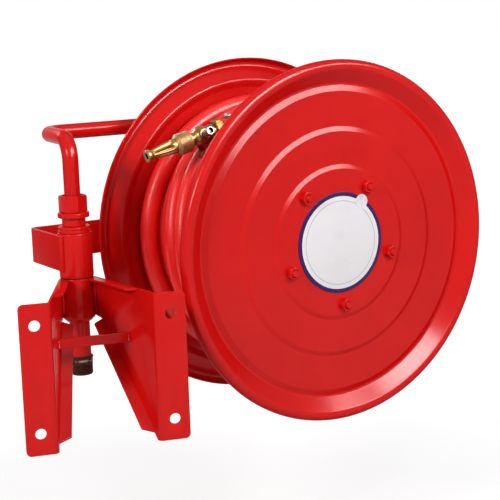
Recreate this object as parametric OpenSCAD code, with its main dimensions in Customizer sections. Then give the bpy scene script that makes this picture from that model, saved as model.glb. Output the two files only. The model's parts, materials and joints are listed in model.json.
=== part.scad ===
// Swinging wall hose reel: bracket, swing arm, drum with wound hose, and nozzle with shut-off valve.
// Wall face at Y = 0, room towards -Y, +Z up, origin at the centre of the four wall holes.

/* [Drum] */
// Rim diameter of the two pressed discs
disc_d = 600; // [560:5:640]
// Width from rim plane to rim plane
drum_w = 289; // [270:1:310]
// Sheet thickness of the discs and the barrel
sheet_t = 2; // [1.5:0.1:2.5]
// Outside diameter of the barrel under the hose
barrel_d = 294; // [286:1:298]
// Width of the rolled rim
rim_roll = 22; // [18:1:26]
// Diameter of the label plate
label_d = 168; // [140:1:180]
// Thickness of the label plate
label_t = 1.2; // [0.8:0.1:2]

/* [Tie studs] */
// Number of tie studs
stud_count = 5; // [4:1:6]
// Diameter of the circle that the studs stand on
stud_circle = 210; // [204:1:212]
// Stud diameter
stud_d = 12; // [10:1:12]
// Width across flats of the stud nuts
stud_nut_af = 19; // [17:1:20]
// Height of the stud nuts
stud_nut_h = 10; // [8:1:12]
// Turn of the first stud from the level line
stud_turn = 57.5; // [0:0.5:72]

/* [Hose] */
// Outside diameter of the hose
hose_d = 29.5; // [28:0.1:29.8]
// Number of full layers under the outer one
inner_layers = 2; // [2:1:2]
// Step between neighbouring turns of the outer layer
hose_step = 33; // [32.5:0.5:34]
// Turns of the outer layer that lie side by side at the front
front_turns = 5; // [4:1:5]

/* [Nozzle] */
// Place round the drum where the straight hose end leaves the coil, from the level line
nozzle_turn = 104.3; // [103:0.1:106]
// Turn of the nozzle away from the drum axis
nozzle_yaw = 87.6; // [86:0.1:90]
// Straight run from the coil to the valve
valve_run = 131; // [127:1:135]
// Length from the valve to the nozzle tip
nozzle_len = 104; // [98:1:108]
// Outside diameter of the valve body
valve_d = 35; // [33:0.5:35.5]
// Lean of the valve stem away from the coil
stem_lean = 18; // [14:1:22]

/* [Swing arm] */
// Distance of the pivot axis from the wall
pivot_out = 240; // [236:1:260]
// Swing angle of the drum at rest, from parallel with the wall
swing_rest = 15.7; // [14:0.1:30]
// Distance from the pivot axis to the drum axis
hub_reach = 377; // [372:1:420]
// Height of the drum axis
axis_z = 144; // [140:1:150]
// Distance of the drum's middle ahead of the pivot axis
drum_ahead = 74.5; // [70:0.5:80]
// Height of the flat bar of the arm
arm_h = 58; // [50:1:60]
// Thickness of the flat bar
arm_t = 6; // [5:0.5:8]
// Outside diameter of the feed pipe
feed_d = 26.4; // [24:0.1:27]
// Height of the feed pipe's top run
feed_top = 331; // [320:1:345]
// Outside diameter of the pivot pipe and of the spindle
pipe_d = 33.7; // [33:0.1:34]

/* [Wall bracket] */
// Distance between the wall holes across
hole_across = 204; // [200:1:210]
// Distance between the wall holes up
hole_up = 164; // [150:1:180]
// Diameter of the wall holes
hole_d = 17; // [12:0.5:18]
// Height of the wall flanges
flange_h = 230; // [220:1:240]
// Distance from the middle to the outer edge of a flange
flange_out = 125; // [122:1:130]
// Plate thickness of the bracket
plate_t = 4; // [3:0.5:5]
// Outside diameter of the bracket sleeve
sleeve_d = 55; // [52:1:58]
// Width of the lips along the lower edges
lip_w = 18; // [12:1:22]

/* [Hidden] */
$fn = 64;

// Colours as painted or bare
red = "#c8141a";
hose_red = "#cc2222";
brass = "#b08a45";
steel = "#9a9a98";
dark = "#3a2a24";
white = "#f2f2f2";

// Fits
fit = 0.05;
free_gap = 0.5;
pipe_r = pipe_d / 2;
pipe_wall = 3.5;
bush_r = 23;
eps = 1;

// Disc section, from the middle out to the lip
disc_r = disc_d / 2;
half_w = drum_w / 2;
crest_r = rim_roll / 2;
blend_r = 12;
lip_drop = 3;
ring_rise = [3, 5, 6];
ring_at = [0.42, 0.625, 0.845] * disc_r;
ring_run = 7;
ring_sum = [ring_rise[0], ring_rise[0] + ring_rise[1], ring_rise[0] + ring_rise[1] + ring_rise[2]];
stud_r = stud_circle / 2;
stud_hole = stud_d + 0.5;
stud_tip = 4;
hub_hole_r = 24;
inner_face = half_w - sheet_t;
barrel_face = inner_face - ring_sum[0];
coil_face = inner_face - ring_sum[1];

// Hub and spindle, places along the drum axis from its middle
hub_r = 32;
bush_len = 30;
seal_len = 6;
end_room = 38.5;
hub_shoulder = inner_face - end_room;
nut_room_r = 28;
plate_r = 112;
hub_plate_t = 5;
outlet_from = -70;
outlet_r = 11;
outlet_bore = 8;
spigot_len = 26;
// The outlet stands midway between two studs
outlet_turn = stud_turn + 90 + 180 / stud_count;
clamp_w = 12;
clamp_t = 1.6;
end_washer_t = 3;
end_nut_h = 14;
thread_out = 4.5;
end_nut_at = hub_shoulder + free_gap + end_washer_t;
spindle_end = end_nut_at + end_nut_h + thread_out;
elbow_u = -140;
bar_u = -113;
lock_nut_h = 6.6;

// Hose coil
hose_r = hose_d / 2;
barrel_r = barrel_d / 2;
layer_gap = 0.25;
layers_r = barrel_r + inner_layers * hose_d;
inner_turn_r = barrel_r + layer_gap + hose_r;
inner_turn_at = -(barrel_face - hose_r - 1.7);
outlet_lean = atan((outlet_from - inner_turn_at) / inner_turn_r);
outlet_len = inner_turn_r / cos(outlet_lean);
coil_r = layers_r + layer_gap + hose_r;
first_turn = -coil_face + hose_r + 6.7;
last_turn = coil_face - hose_r - 1.2;
ring_step = 15;
// The straight steps of the wound tube dip between their rings, so the core stays under them
core_r = (coil_r - hose_r) * cos(ring_step / 2) - layer_gap;
coil_start = 40;
cross_from = 240;
cross_span = 100;
// The hose end comes back over the front turns into a lane of its own
end_slot = 3;
end_place = last_turn - end_slot * hose_step;
settle = 10.5;
crossing_r = coil_r + hose_d + 2.5;
tail_end = -40;
tube_sides = 6;
lug_len = 24;

// Swing column heights
sleeve_r = sleeve_d / 2;
sleeve_low = 31;
sleeve_drop = 40.3;
sleeve_top = axis_z - sleeve_drop;
washer_t = 1.5;
swing_low = sleeve_top + washer_t + 0.3;
swing_rise = 34.4;
swing_top = axis_z + swing_rise;
swing_r = sleeve_r + 0.5;
collar_r = 26;
collar_h = 10.5;
neck_r = 19.3;
neck_h = 13.6;
gland_ring_h = 8.4;
gland_nut_h = 28;
gland_af = 41;
gland_low = swing_top + free_gap + collar_h + 0.6;
gland_top = gland_low + neck_h + gland_ring_h;
packing_r = 20;
packing_h = 8;
socket_low = -60;
socket_r = 18.6;
socket_bore = 12.05;
socket_top = -33.4;
thread_len = 15;
ring_h = 5;
pipe_low = socket_low + thread_len;

// Bracket sheet
bend_in = 4;
bend_out = bend_in + plate_t;
bend_x = flange_out - 41.5;
gusset_end = 26;
gusset_lean = atan((bend_x - bend_out - gusset_end) / (pivot_out - bend_out));
gusset_len = (pivot_out - bend_out + 4) / cos(gusset_lean);
flange_round = 8;
slope_from = 3;
slope_end = 205;
strap_out = 100;
strap_h = 16;
strap_t = 5;
strap_z = 28;
top_lip_w = 14;
top_lip_from = 70;

// Profile helpers
function arc(c, r, a0, a1, n) =
    [for (i = [0:n]) let (a = a0 + (a1 - a0) * i / n) [c[0] + r * cos(a), c[1] + r * sin(a)]];
function ease(t) = let (u = min(1, max(0, t))) u * u * (3 - 2 * u);
function pressed_step(at, from, rise) =
    [for (i = [0:6]) [at - ring_run / 2 + ring_run * i / 6, from - rise * ease(i / 6)]];
function unit(v) = v / norm(v);
function side(pts, i) =
    let (a = pts[max(0, i - 1)], b = pts[min(len(pts) - 1, i + 1)], t = unit(b - a)) [t[1], -t[0]];
function sheet(pts, t) =
    concat(pts, [for (i = [len(pts) - 1:-1:0]) pts[i] + t * side(pts, i)]);

// Outer face of a disc as radius and height over the rim plane
disc_line = concat(
    [[0, 0]],
    pressed_step(ring_at[0], 0, ring_rise[0]),
    pressed_step(ring_at[1], -ring_sum[0], ring_rise[1]),
    pressed_step(ring_at[2], -ring_sum[1], ring_rise[2]),
    arc([disc_r - rim_roll - blend_r, blend_r - ring_sum[2]], blend_r, -90, 0, 6),
    [for (i = [1:12]) let (a = 180 - 15 * i)
        [disc_r - crest_r + crest_r * cos(a), blend_r - ring_sum[2] + crest_r * sin(a)]],
    [[disc_r, blend_r - ring_sum[2] - lip_drop]]);

// Hose route round the drum: turn angle a, radius, place along the axis
function drum_point(turn, r, s) = [r * cos(turn + 90), r * sin(turn + 90), s];
// Each front turn leaves the end's lane free at the top and closes up below it
function early(i) = let (k = front_turns - i) last_turn - hose_step * (k < end_slot ? k : k + 1);
function late(i) = last_turn - settle - hose_step * (front_turns - i);
end_cross = cross_from + 360 * front_turns;
function turn_place(a) =
    let (n = floor((a - cross_from) / 360), b = a - 360 * n, from = n < 1 ? first_turn : late(n))
    n < 0 ? first_turn
    : n >= front_turns ? from + (end_place - from) * ease((a - end_cross) / 110)
    : from + (early(n + 1) - from) * ease((b - cross_from) / cross_span)
        + (late(n + 1) - early(n + 1)) * ease((b - 455) / 50);
function wind_r(a) =
    coil_r + (crossing_r - coil_r) * (ease((a - end_cross + 60) / 60) - ease((a - end_cross - 100) / 72));
wind_end = 360 * (front_turns + 1) + nozzle_turn - coil_start;
wind_rings = ceil(wind_end / ring_step);
wind = [for (i = [0:wind_rings]) let (a = wind_end * i / wind_rings)
    drum_point(coil_start + a, wind_r(a), turn_place(a))];
wind_lead = unit(drum_point(coil_start + 90, 1, 0));
nozzle_lead = sin(nozzle_yaw) * drum_point(nozzle_turn + 90, 1, 0) - [0, 0, cos(nozzle_yaw)];
function nozzle_point(l) = drum_point(nozzle_turn, coil_r, end_place) + (l + valve_run) * nozzle_lead;
hose_route = concat([wind[0] - hose_d * wind_lead], wind,
    [nozzle_point((tail_end - valve_run) / 2), nozzle_point(tail_end)]);
route_last = len(hose_route) - 1;

// Least gap of the hose to itself, between points more than a third of a turn apart
hose_gap = min([for (i = [0:route_last]) for (j = [i + 8:1:route_last])
    norm(hose_route[i] - hose_route[j])]) - hose_d;
echo(least_hose_gap = hose_gap);
function run(pts) = [for (i = [1:len(pts) - 1]) norm(pts[i] - pts[i - 1])] * [for (i = [1:len(pts) - 1]) 1];
echo(outer_layer_length = run(hose_route));

// Places
module arm_place() translate([0, -pivot_out, 0]) rotate(90 + swing_rest) children();
module drum_place() arm_place() translate([drum_ahead, hub_reach, axis_z]) rotate([0, 90, 0]) children();
module axis_place(u) arm_place() translate([u, hub_reach, axis_z]) rotate([0, 90, 0]) children();
module nozzle_place()
    drum_place() rotate(nozzle_turn + 90) translate([coil_r, 0, end_place])
        rotate([180 + nozzle_yaw, 0, 0]) translate([0, 0, valve_run]) children();
module stem_place() nozzle_place() rotate(stem_lean - 90) rotate([0, 90, 0]) children();

// Shapes that repeat
module ring(outer, inner, from, to) {
    difference() {
        translate([0, 0, from]) cylinder(r = outer, h = to - from);
        translate([0, 0, from - eps]) cylinder(r = inner, h = to - from + 2 * eps);
    }
}
module hex_nut(af, bore, h) {
    difference() {
        cylinder(d = af / cos(30), h = h, $fn = 6);
        translate([0, 0, -eps]) cylinder(d = bore, h = h + 2 * eps);
    }
}
module at_studs()
    for (i = [0:stud_count - 1])
        rotate(stud_turn + 90 + i * 360 / stud_count) translate([stud_r, 0, 0]) children();

// Wall bracket: each cheek is one folded sheet, cut to its slopes, with two lips
gusset_turn = 270 - gusset_lean;
gusset_dir = [cos(gusset_turn), sin(gusset_turn)];
fold = [bend_x, -bend_out];
fold_side = [-cos(gusset_lean), sin(gusset_lean)];
cheek_plan = concat(
    [[flange_out, 0]],
    arc(fold, bend_out, 90, 180 - gusset_lean, 8),
    [fold + bend_out * fold_side + gusset_len * gusset_dir, fold + bend_in * fold_side + gusset_len * gusset_dir],
    arc(fold, bend_in, 180 - gusset_lean, 90, 8),
    [[flange_out, -plate_t]]);
edge = flange_h / 2;
slope_top = sleeve_low + 6;
lip_reach = bend_out + max(lip_w, top_lip_w);
module cheek() {
    difference() {
        union() {
            translate([0, 0, -edge]) linear_extrude(flange_h) polygon(cheek_plan);
            at_fold() {
                lower_lip();
                top_lip();
            }
        }
        at_fold() slopes();
        flange_cuts();
        translate([0, -pivot_out, -flange_h]) cylinder(r = sleeve_r, h = 2 * flange_h);
    }
}
module at_fold() translate(fold) rotate(gusset_turn) children();
lower_slope = atan((slope_top + edge) / (slope_end - slope_from));
upper_slope = atan((edge - sleeve_top + 1) / (gusset_len - slope_from));
// Each cut starts a little before its slope, outside the sheet, so that it crosses the edge cleanly
module slopes() {
    before = 8;
    start = slope_from - before;
    far = gusset_len + 2 * eps;
    low = -edge - before * tan(lower_slope);
    high = edge + before * tan(upper_slope);
    translate([0, 2 * eps, 0]) rotate([90, 0, 0]) linear_extrude(lip_reach + 4 * eps) {
        polygon([[start, low], [slope_end, slope_top], [far, slope_top + 2], [far, low - eps], [start, low - eps]]);
        polygon([[start, high], [far, sleeve_top - 1 - 2 * eps * tan(upper_slope)], [far, high + eps],
            [start, high + eps]]);
    }
}
module flange_cuts() {
    for (z = [-1, 1]) {
        translate([hole_across / 2, eps, z * hole_up / 2]) rotate([90, 0, 0])
            cylinder(d = hole_d, h = plate_t + 2 * eps);
        translate([flange_out - flange_round, eps, z * (edge - flange_round)]) rotate([90, 0, 0])
            linear_extrude(plate_t + 2 * eps) difference() {
                translate([0, z > 0 ? 0 : -2 * flange_round]) square(2 * flange_round);
                circle(flange_round);
            }
    }
}
// The lips stand a little past the slopes, which trim them flush
module lower_lip() {
    length = (slope_end - slope_from) / cos(lower_slope);
    translate([slope_from, 0, -edge]) rotate([0, -lower_slope, 0]) translate([0, 0, -eps]) linear_extrude(plate_t + eps)
        polygon([[12, -bend_in - eps], [length, -bend_in - eps], [length - 10, -bend_out - lip_w],
            [24, -bend_out - lip_w]]);
}
module top_lip() {
    translate([slope_from, 0, edge]) rotate([0, upper_slope, 0]) translate([0, 0, -plate_t]) linear_extrude(plate_t + eps)
        polygon([[top_lip_from - 16, -bend_in - eps], [gusset_len - 8, -bend_in - eps],
            [gusset_len - 8, -bend_out - top_lip_w], [top_lip_from, -bend_out - top_lip_w]]);
}
module right_cheek() color(red) cheek();
module left_cheek() color(red) mirror([1, 0, 0]) cheek();
module cross_strap() {
    inner_x = bend_x - bend_out * cos(gusset_lean);
    inner_y = bend_out - bend_out * sin(gusset_lean);
    function reach(out) = inner_x - (out - inner_y) * tan(gusset_lean);
    near = reach(strap_out - strap_t / 2);
    far = reach(strap_out + strap_t / 2);
    color(red) translate([0, -strap_out, strap_z - strap_h / 2]) linear_extrude(strap_h)
        polygon([[-near, strap_t / 2], [near, strap_t / 2], [far, -strap_t / 2], [-far, -strap_t / 2]]);
}
module bracket_sleeve() {
    chamfer = 7;
    color(red) translate([0, -pivot_out, 0]) difference() {
        union() {
            translate([0, 0, sleeve_low + chamfer]) cylinder(r = sleeve_r, h = sleeve_top - sleeve_low - chamfer);
            translate([0, 0, sleeve_low]) cylinder(r1 = sleeve_r - chamfer, r2 = sleeve_r, h = chamfer);
        }
        translate([0, 0, sleeve_low - eps]) cylinder(r = pipe_r, h = sleeve_top - sleeve_low + 2 * eps);
    }
}
module inlet_pipe()
    color(red) translate([0, -pivot_out, 0])
        ring(pipe_r, pipe_r - pipe_wall, pipe_low, gland_top + packing_h + 8);
module inlet_ring()
    color(dark) translate([0, -pivot_out, 0]) ring(socket_r + 1, pipe_r, socket_top + 0.4, socket_top + ring_h);
module inlet_socket()
    color(dark) translate([0, -pivot_out, 0]) difference() {
        ring(socket_r, socket_bore, socket_low, socket_top);
        translate([0, 0, pipe_low]) cylinder(r = pipe_r, h = socket_top - pipe_low + eps);
    }
module thrust_washer()
    color(brass) translate([0, -pivot_out, 0])
        ring(sleeve_r - 0.6, pipe_r + 0.3, sleeve_top, sleeve_top + washer_t);
module retaining_collar()
    color(red) translate([0, -pivot_out, 0])
        ring(collar_r, pipe_r, swing_top + free_gap, swing_top + free_gap + collar_h);

// Swing arm
module swing_sleeve() color(red) arm_place() ring(swing_r, bush_r, swing_low, swing_top);
module lower_bush() color(brass) arm_place() ring(bush_r, pipe_r + fit, swing_low, swing_low + bush_len);
module upper_bush() color(brass) arm_place() ring(bush_r, pipe_r + fit, swing_top - bush_len, swing_top);
module arm_bar() {
    bar_z = axis_z + 3;
    inner_h = 2 - swing_r;
    bar_bend = 8;
    back = bar_u - arm_t / 2;
    tip = hub_reach + arm_h / 2;
    color(red) arm_place() difference() {
        union() {
            translate([0, 0, bar_z - arm_h / 2]) linear_extrude(arm_h) {
                translate([back + arm_t + bar_bend, inner_h - arm_t])
                    square([12 - back - arm_t - bar_bend, arm_t]);
                translate([back, inner_h + bar_bend]) square([arm_t, hub_reach - inner_h - bar_bend]);
                translate([back + arm_t + bar_bend, inner_h + bar_bend]) intersection() {
                    difference() {
                        circle(bar_bend + arm_t);
                        circle(bar_bend);
                    }
                    translate([-2 * bar_bend - arm_t, -2 * bar_bend - arm_t]) square(2 * bar_bend + arm_t);
                }
            }
            translate([back, hub_reach, bar_z]) rotate([0, 90, 0]) cylinder(d = arm_h, h = arm_t);
        }
        cylinder(r = swing_r, h = 2 * axis_z);
        translate([back - eps, hub_reach, axis_z]) rotate([0, 90, 0]) cylinder(r = pipe_r, h = arm_t + 2 * eps);
    }
}
module gland_body()
    color(red) arm_place() {
        ring(neck_r, pipe_r + fit, gland_low, gland_low + neck_h);
        ring(collar_r, pipe_r + fit, gland_low + neck_h, gland_top);
    }
module gland_packing() color(dark) arm_place() ring(packing_r, pipe_r + fit, gland_top, gland_top + packing_h);
module gland_nut()
    color(red) arm_place() translate([0, 0, gland_top]) difference() {
        hex_nut(gland_af, feed_d, gland_nut_h);
        translate([0, 0, -eps]) cylinder(r = packing_r, h = packing_h + eps);
        cylinder(r = pipe_r + 0.4, h = packing_h + 10);
    }

// Feed pipe along straight runs, with round bends
feed_bend = 36;
feed_seat = 40;
bend_lap = 3;
bend_slack = 0.12;
feed_corner = [elbow_u, 19];
feed_route = [[0, 0, gland_top + packing_h + 12], [0, 0, feed_top], [feed_corner[0], feed_corner[1], feed_top],
    [elbow_u, hub_reach, feed_top], [elbow_u, hub_reach, axis_z + feed_seat]];
module along(from, to) {
    d = to - from;
    translate(from) rotate([0, acos(d[2] / norm(d)), atan2(d[1], d[0])]) cylinder(r = feed_d / 2, h = norm(d));
}
// Bend at q between the runs from p and to n, as a part of a ring in their common plane;
// it laps a hair inside the straight runs at both ends
module pipe_bend(p, q, n) {
    a = unit(q - p);
    b = unit(n - q);
    up = unit(cross(a, b));
    swing = acos(a * b);
    c = q - a * feed_bend * tan(swing / 2) + cross(up, a) * feed_bend;
    x = -cross(up, a);
    y = a;
    multmatrix([[x[0], y[0], up[0], c[0]], [x[1], y[1], up[1], c[1]], [x[2], y[2], up[2], c[2]], [0, 0, 0, 1]])
        rotate(-bend_lap) rotate_extrude(angle = swing + 2 * bend_lap)
            translate([feed_bend, 0]) circle(feed_d / 2 - bend_slack);
}
module feed_pipe() {
    last = len(feed_route) - 1;
    function trim(i) = i == 0 || i == last ? 0 :
        feed_bend * tan(acos(unit(feed_route[i] - feed_route[i - 1]) * unit(feed_route[i + 1] - feed_route[i])) / 2);
    color(red) arm_place() {
        for (i = [0:last - 1]) {
            d = unit(feed_route[i + 1] - feed_route[i]);
            along(feed_route[i] + d * trim(i), feed_route[i + 1] - d * trim(i + 1));
        }
        for (i = [1:last - 1]) pipe_bend(feed_route[i - 1], feed_route[i], feed_route[i + 1]);
    }
}
module feed_elbow() {
    body_r = 21;
    branch_r = 16.6;
    reach = 20;
    branch_len = 52;
    socket_deep = 40;
    passage_r = 10;
    color(red) arm_place() difference() {
        union() {
            translate([elbow_u - reach, hub_reach, axis_z]) rotate([0, 90, 0])
                cylinder(r = body_r, h = bar_u - arm_t / 2 - lock_nut_h - 0.4 - elbow_u + reach);
            translate([elbow_u, hub_reach, axis_z]) cylinder(r = branch_r, h = branch_len);
        }
        translate([elbow_u, hub_reach, axis_z]) rotate([0, 90, 0]) cylinder(r = pipe_r, h = socket_deep);
        translate([elbow_u, hub_reach, axis_z + feed_seat]) cylinder(r = feed_d / 2, h = branch_len);
        translate([elbow_u, hub_reach, axis_z]) cylinder(r = passage_r, h = branch_len);
    }
}
module spindle() {
    from = elbow_u - drum_ahead;
    color(steel) drum_place() difference() {
        translate([0, 0, from]) cylinder(r = pipe_r, h = spindle_end - from);
        translate([0, 0, from - eps]) cylinder(r = pipe_r - pipe_wall, h = hub_shoulder - 14 - from);
        translate([0, 0, outlet_from]) rotate([0, 90, 0]) cylinder(r = 6, h = 4 * pipe_r, center = true);
    }
}
module spindle_flange() {
    face = bar_u + arm_t / 2;
    thrust = drum_ahead - inner_face - 0.4;
    color(red) axis_place(0) {
        ring(arm_h / 2 - 2, pipe_r, face, face + 8);
        ring(21, pipe_r, face + 8, thrust);
    }
}
module spindle_lock_nut() color(red) axis_place(bar_u - arm_t / 2 - lock_nut_h) hex_nut(46, pipe_d, lock_nut_h);
module spindle_washer() color(steel) drum_place() ring(26, pipe_r, hub_shoulder + free_gap, end_nut_at);
module spindle_end_nut()
    color(steel) drum_place() translate([0, 0, end_nut_at]) hex_nut(46, pipe_d, end_nut_h);

// Drum
module disc(hole_r) {
    difference() {
        translate([0, 0, half_w]) rotate_extrude($fn = 128) polygon(sheet(disc_line, sheet_t));
        translate([0, 0, half_w - 2 * sheet_t]) at_studs() cylinder(d = stud_hole, h = 4 * sheet_t);
        if (hole_r > 0) translate([0, 0, half_w - 2 * sheet_t]) cylinder(r = hole_r, h = 4 * sheet_t);
    }
}
module front_disc() color(red) drum_place() disc(0);
// The rear disc is the same pressing, turned round and drilled for the spindle
module turned() mirror([0, 0, 1]) children();
module rear_disc() color(red) drum_place() turned() disc(hub_hole_r);
// The outlet leans back to the rear end of the barrel, where its spigot points along the first turn
module at_outlet()
    rotate(outlet_turn) translate([0, 0, outlet_from]) rotate([0, 90 + outlet_lean, 0]) children();
module at_spigot() at_outlet() translate([0, 0, outlet_len]) rotate([-90, 0, 0]) children();
module drum_barrel()
    color(red) drum_place() difference() {
        ring(barrel_r, barrel_r - sheet_t, -barrel_face, barrel_face);
        at_outlet() cylinder(r = outlet_r + 0.5, h = 2 * barrel_r);
    }
module hub()
    color(steel) drum_place() difference() {
        ring(hub_r, bush_r, -inner_face, inner_face);
        translate([0, 0, hub_shoulder]) cylinder(r = nut_room_r, h = half_w);
        at_outlet() cylinder(r = outlet_bore, h = 2 * hub_r);
    }
module hub_plate()
    difference() {
        ring(plate_r, hub_r, inner_face - hub_plate_t, inner_face);
        at_studs() cylinder(d = stud_hole, h = half_w);
    }
module front_hub_plate() color(steel) drum_place() hub_plate();
module rear_hub_plate() color(steel) drum_place() turned() hub_plate();
module tie_studs() {
    reach = half_w + stud_nut_h + stud_tip;
    color(red) drum_place() at_studs() translate([0, 0, -reach]) cylinder(d = stud_d, h = 2 * reach);
}
module stud_nuts() at_studs() translate([0, 0, half_w]) hex_nut(stud_nut_af, stud_d, stud_nut_h);
module front_nuts() color(red) drum_place() stud_nuts();
module rear_nuts()
    color(red) drum_place() at_studs() translate([0, 0, -half_w - stud_nut_h]) hex_nut(stud_nut_af, stud_d, stud_nut_h);
module front_bush() color(brass) drum_place() ring(bush_r, pipe_r + fit, hub_shoulder - bush_len, hub_shoulder);
module rear_bush() color(brass) drum_place() ring(bush_r, pipe_r + fit, -inner_face, bush_len - inner_face);
module front_seal() {
    top = hub_shoulder - bush_len;
    color(dark) drum_place() ring(bush_r, pipe_r + fit, top - seal_len, top);
}
module rear_seal() {
    low = bush_len - inner_face;
    color(dark) drum_place() ring(bush_r, pipe_r + fit, low, low + seal_len);
}
module hub_outlet()
    color(brass) drum_place() difference() {
        union() {
            at_outlet() cylinder(r = outlet_r, h = outlet_len + outlet_r);
            at_spigot() cylinder(r = outlet_r, h = spigot_len);
        }
        at_outlet() cylinder(r = outlet_bore, h = outlet_len + outlet_bore);
        at_spigot() cylinder(r = outlet_bore, h = spigot_len + eps);
        cylinder(r = hub_r, h = drum_w, center = true);
    }
sleeve_from = outlet_r + 2;
sleeve_to = spigot_len + 14;
clamp_from = sleeve_from + 1;
module inner_clamp()
    color(steel) drum_place() at_spigot()
        ring(hose_r - 0.2, hose_r - clamp_t, clamp_from, clamp_from + clamp_w);
// Hidden layers of the hose, with the first turn's end on the spigot and a lug where the outer layer starts
module hose_core() {
    lug_at = wind[0] - hose_d * wind_lead;
    color(hose_red) drum_place() {
        difference() {
            ring(core_r, barrel_r, 1 - coil_face, coil_face - 1);
            at_outlet() cylinder(r = outlet_r + 1, h = outlet_len + outlet_r + 1);
            at_spigot() cylinder(r = hose_r + 0.2, h = sleeve_to - 2);
        }
        at_spigot() difference() {
            ring(hose_r, outlet_r, sleeve_from, sleeve_to);
            ring(hose_r + eps, hose_r - clamp_t, clamp_from, clamp_from + clamp_w);
        }
        translate(lug_at) rotate(coil_start + 90) rotate([90, 0, 0]) {
            cylinder(r = hose_r, h = lug_len);
            translate([-hose_r - 8, -6, 0]) cube([hose_r, 12, lug_len]);
        }
    }
}

// Wound hose: one tube of triangles along the route, with square ends
function route_lead(i) =
    unit(hose_route[min(i + 1, route_last)] - hose_route[max(i - 1, 0)]);
function route_ring(i) =
    let (t = route_lead(i), q = hose_route[i], w = unit([q[0], q[1], 0]), x = unit(w - (w * t) * t), y = cross(t, x))
    [for (k = [0:tube_sides - 1]) let (a = 360 * k / tube_sides) q + hose_r * (cos(a) * x + sin(a) * y)];
module hose_outer_layer() {
    points = [for (i = [0:route_last]) each route_ring(i)];
    n = tube_sides;
    walls = [for (i = [0:route_last - 1]) for (k = [0:n - 1])
        let (a = i * n + k, b = i * n + (k + 1) % n) each [[a, a + n, b], [b, a + n, b + n]]];
    low_end = [for (k = [1:n - 2]) [0, k, k + 1]];
    high_end = [for (k = [1:n - 2]) [route_last * n, route_last * n + k + 1, route_last * n + k]];
    color(hose_red) drum_place() polyhedron(points, concat(walls, low_end, high_end));
}
module label_plate() color(white) drum_place() translate([0, 0, half_w]) cylinder(d = label_d, h = label_t);

// Nozzle, drawn along its own axis from the hose towards the tip
valve_r = valve_d / 2;
ball_r = 11;
water_r = 8;
tail_top = -24;
neck_top = 21;
collar_top = 50;
tip_bore = 4.5;
stem_r = 4;
stem_seat = valve_r + 1;
stem_top = 42;
lever_t = 3;
lever_at = -stem_seat - 0.4 - lever_t;
module hose_clamp() color(steel) nozzle_place() ring(hose_r + clamp_t, hose_r, tail_end - 26, tail_end - 10);
module hose_tail()
    color(brass) nozzle_place() translate([0, 0, tail_end]) difference() {
        cylinder(d = valve_d / cos(30), h = tail_top - tail_end, $fn = 6);
        translate([0, 0, 2]) cylinder(r = water_r, h = tail_top - tail_end);
    }
module valve_body() {
    shell = concat([[0, tail_top], [13, tail_top]], arc([0, 0], valve_r, -42, 50, 12),
        [[11, neck_top], [0, neck_top]]);
    color(brass) difference() {
        union() {
            nozzle_place() rotate_extrude() polygon(shell);
            stem_place() cylinder(r = 9, h = 2 * stem_seat, center = true);
        }
        nozzle_place() translate([0, 0, tail_top - eps]) cylinder(r = water_r, h = neck_top - tail_top + 2 * eps);
        stem_place() sphere(r = ball_r + 0.4);
        stem_place() cylinder(r = stem_r + fit, h = 2 * (stem_seat + eps), center = true);
    }
}
module nozzle_collar()
    color(brass) nozzle_place() difference() {
        rotate_extrude() polygon([[0, neck_top], [16, neck_top], [valve_r + 0.5, neck_top + 1.5],
            [valve_r + 0.5, collar_top - 5], [13, collar_top], [0, collar_top]]);
        translate([0, 0, neck_top - eps]) cylinder(r = water_r, h = collar_top - neck_top + 2 * eps);
    }
module nozzle_cone()
    color(brass) nozzle_place() difference() {
        rotate_extrude() polygon([[0, collar_top], [12, collar_top], [11.6, collar_top + 6],
            [8, nozzle_len - 12], [10.3, nozzle_len - 8], [10.5, nozzle_len], [0, nozzle_len]]);
        translate([0, 0, collar_top - eps]) cylinder(r = tip_bore, h = nozzle_len);
    }
module valve_ball() {
    side_turn = acos(water_r / ball_r);
    color(steel) nozzle_place() rotate_extrude() polygon(arc([0, 0], ball_r, -side_turn, side_turn, 16));
}
// The stem passes through the ball: the nut holds its front end, the lever sits on its rear end
module valve_stem()
    color(steel) stem_place() difference() {
        translate([0, 0, lever_at - 1.5]) cylinder(r = stem_r, h = stem_top - lever_at + 1.5);
        sphere(r = ball_r);
    }
module stem_nut()
    color(steel) stem_place() ring(6.6, stem_r, stem_seat + 0.4, stem_top);
module lever() {
    reach = 34;
    width = 10;
    color(brass) stem_place() translate([0, 0, lever_at]) difference() {
        union() {
            cylinder(r = 8, h = lever_t);
            translate([-width / 2, -reach, 0]) cube([width, reach, lever_t]);
        }
        translate([0, 0, -eps]) cylinder(r = stem_r, h = lever_t + 2 * eps);
    }
}

left_cheek();
right_cheek();
cross_strap();
bracket_sleeve();
inlet_pipe();
inlet_ring();
inlet_socket();
thrust_washer();
retaining_collar();
swing_sleeve();
lower_bush();
upper_bush();
arm_bar();
gland_body();
gland_packing();
gland_nut();
feed_pipe();
feed_elbow();
spindle();
spindle_flange();
spindle_lock_nut();
spindle_washer();
spindle_end_nut();
front_disc();
rear_disc();
drum_barrel();
hub();
front_hub_plate();
rear_hub_plate();
tie_studs();
front_nuts();
rear_nuts();
front_bush();
rear_bush();
front_seal();
rear_seal();
hub_outlet();
inner_clamp();
hose_core();
hose_outer_layer();
hose_clamp();
hose_tail();
valve_body();
nozzle_collar();
nozzle_cone();
label_plate();
valve_ball();
valve_stem();
stem_nut();
lever();
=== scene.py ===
import json
import math
import bpy
from mathutils import Matrix, Vector


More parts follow.
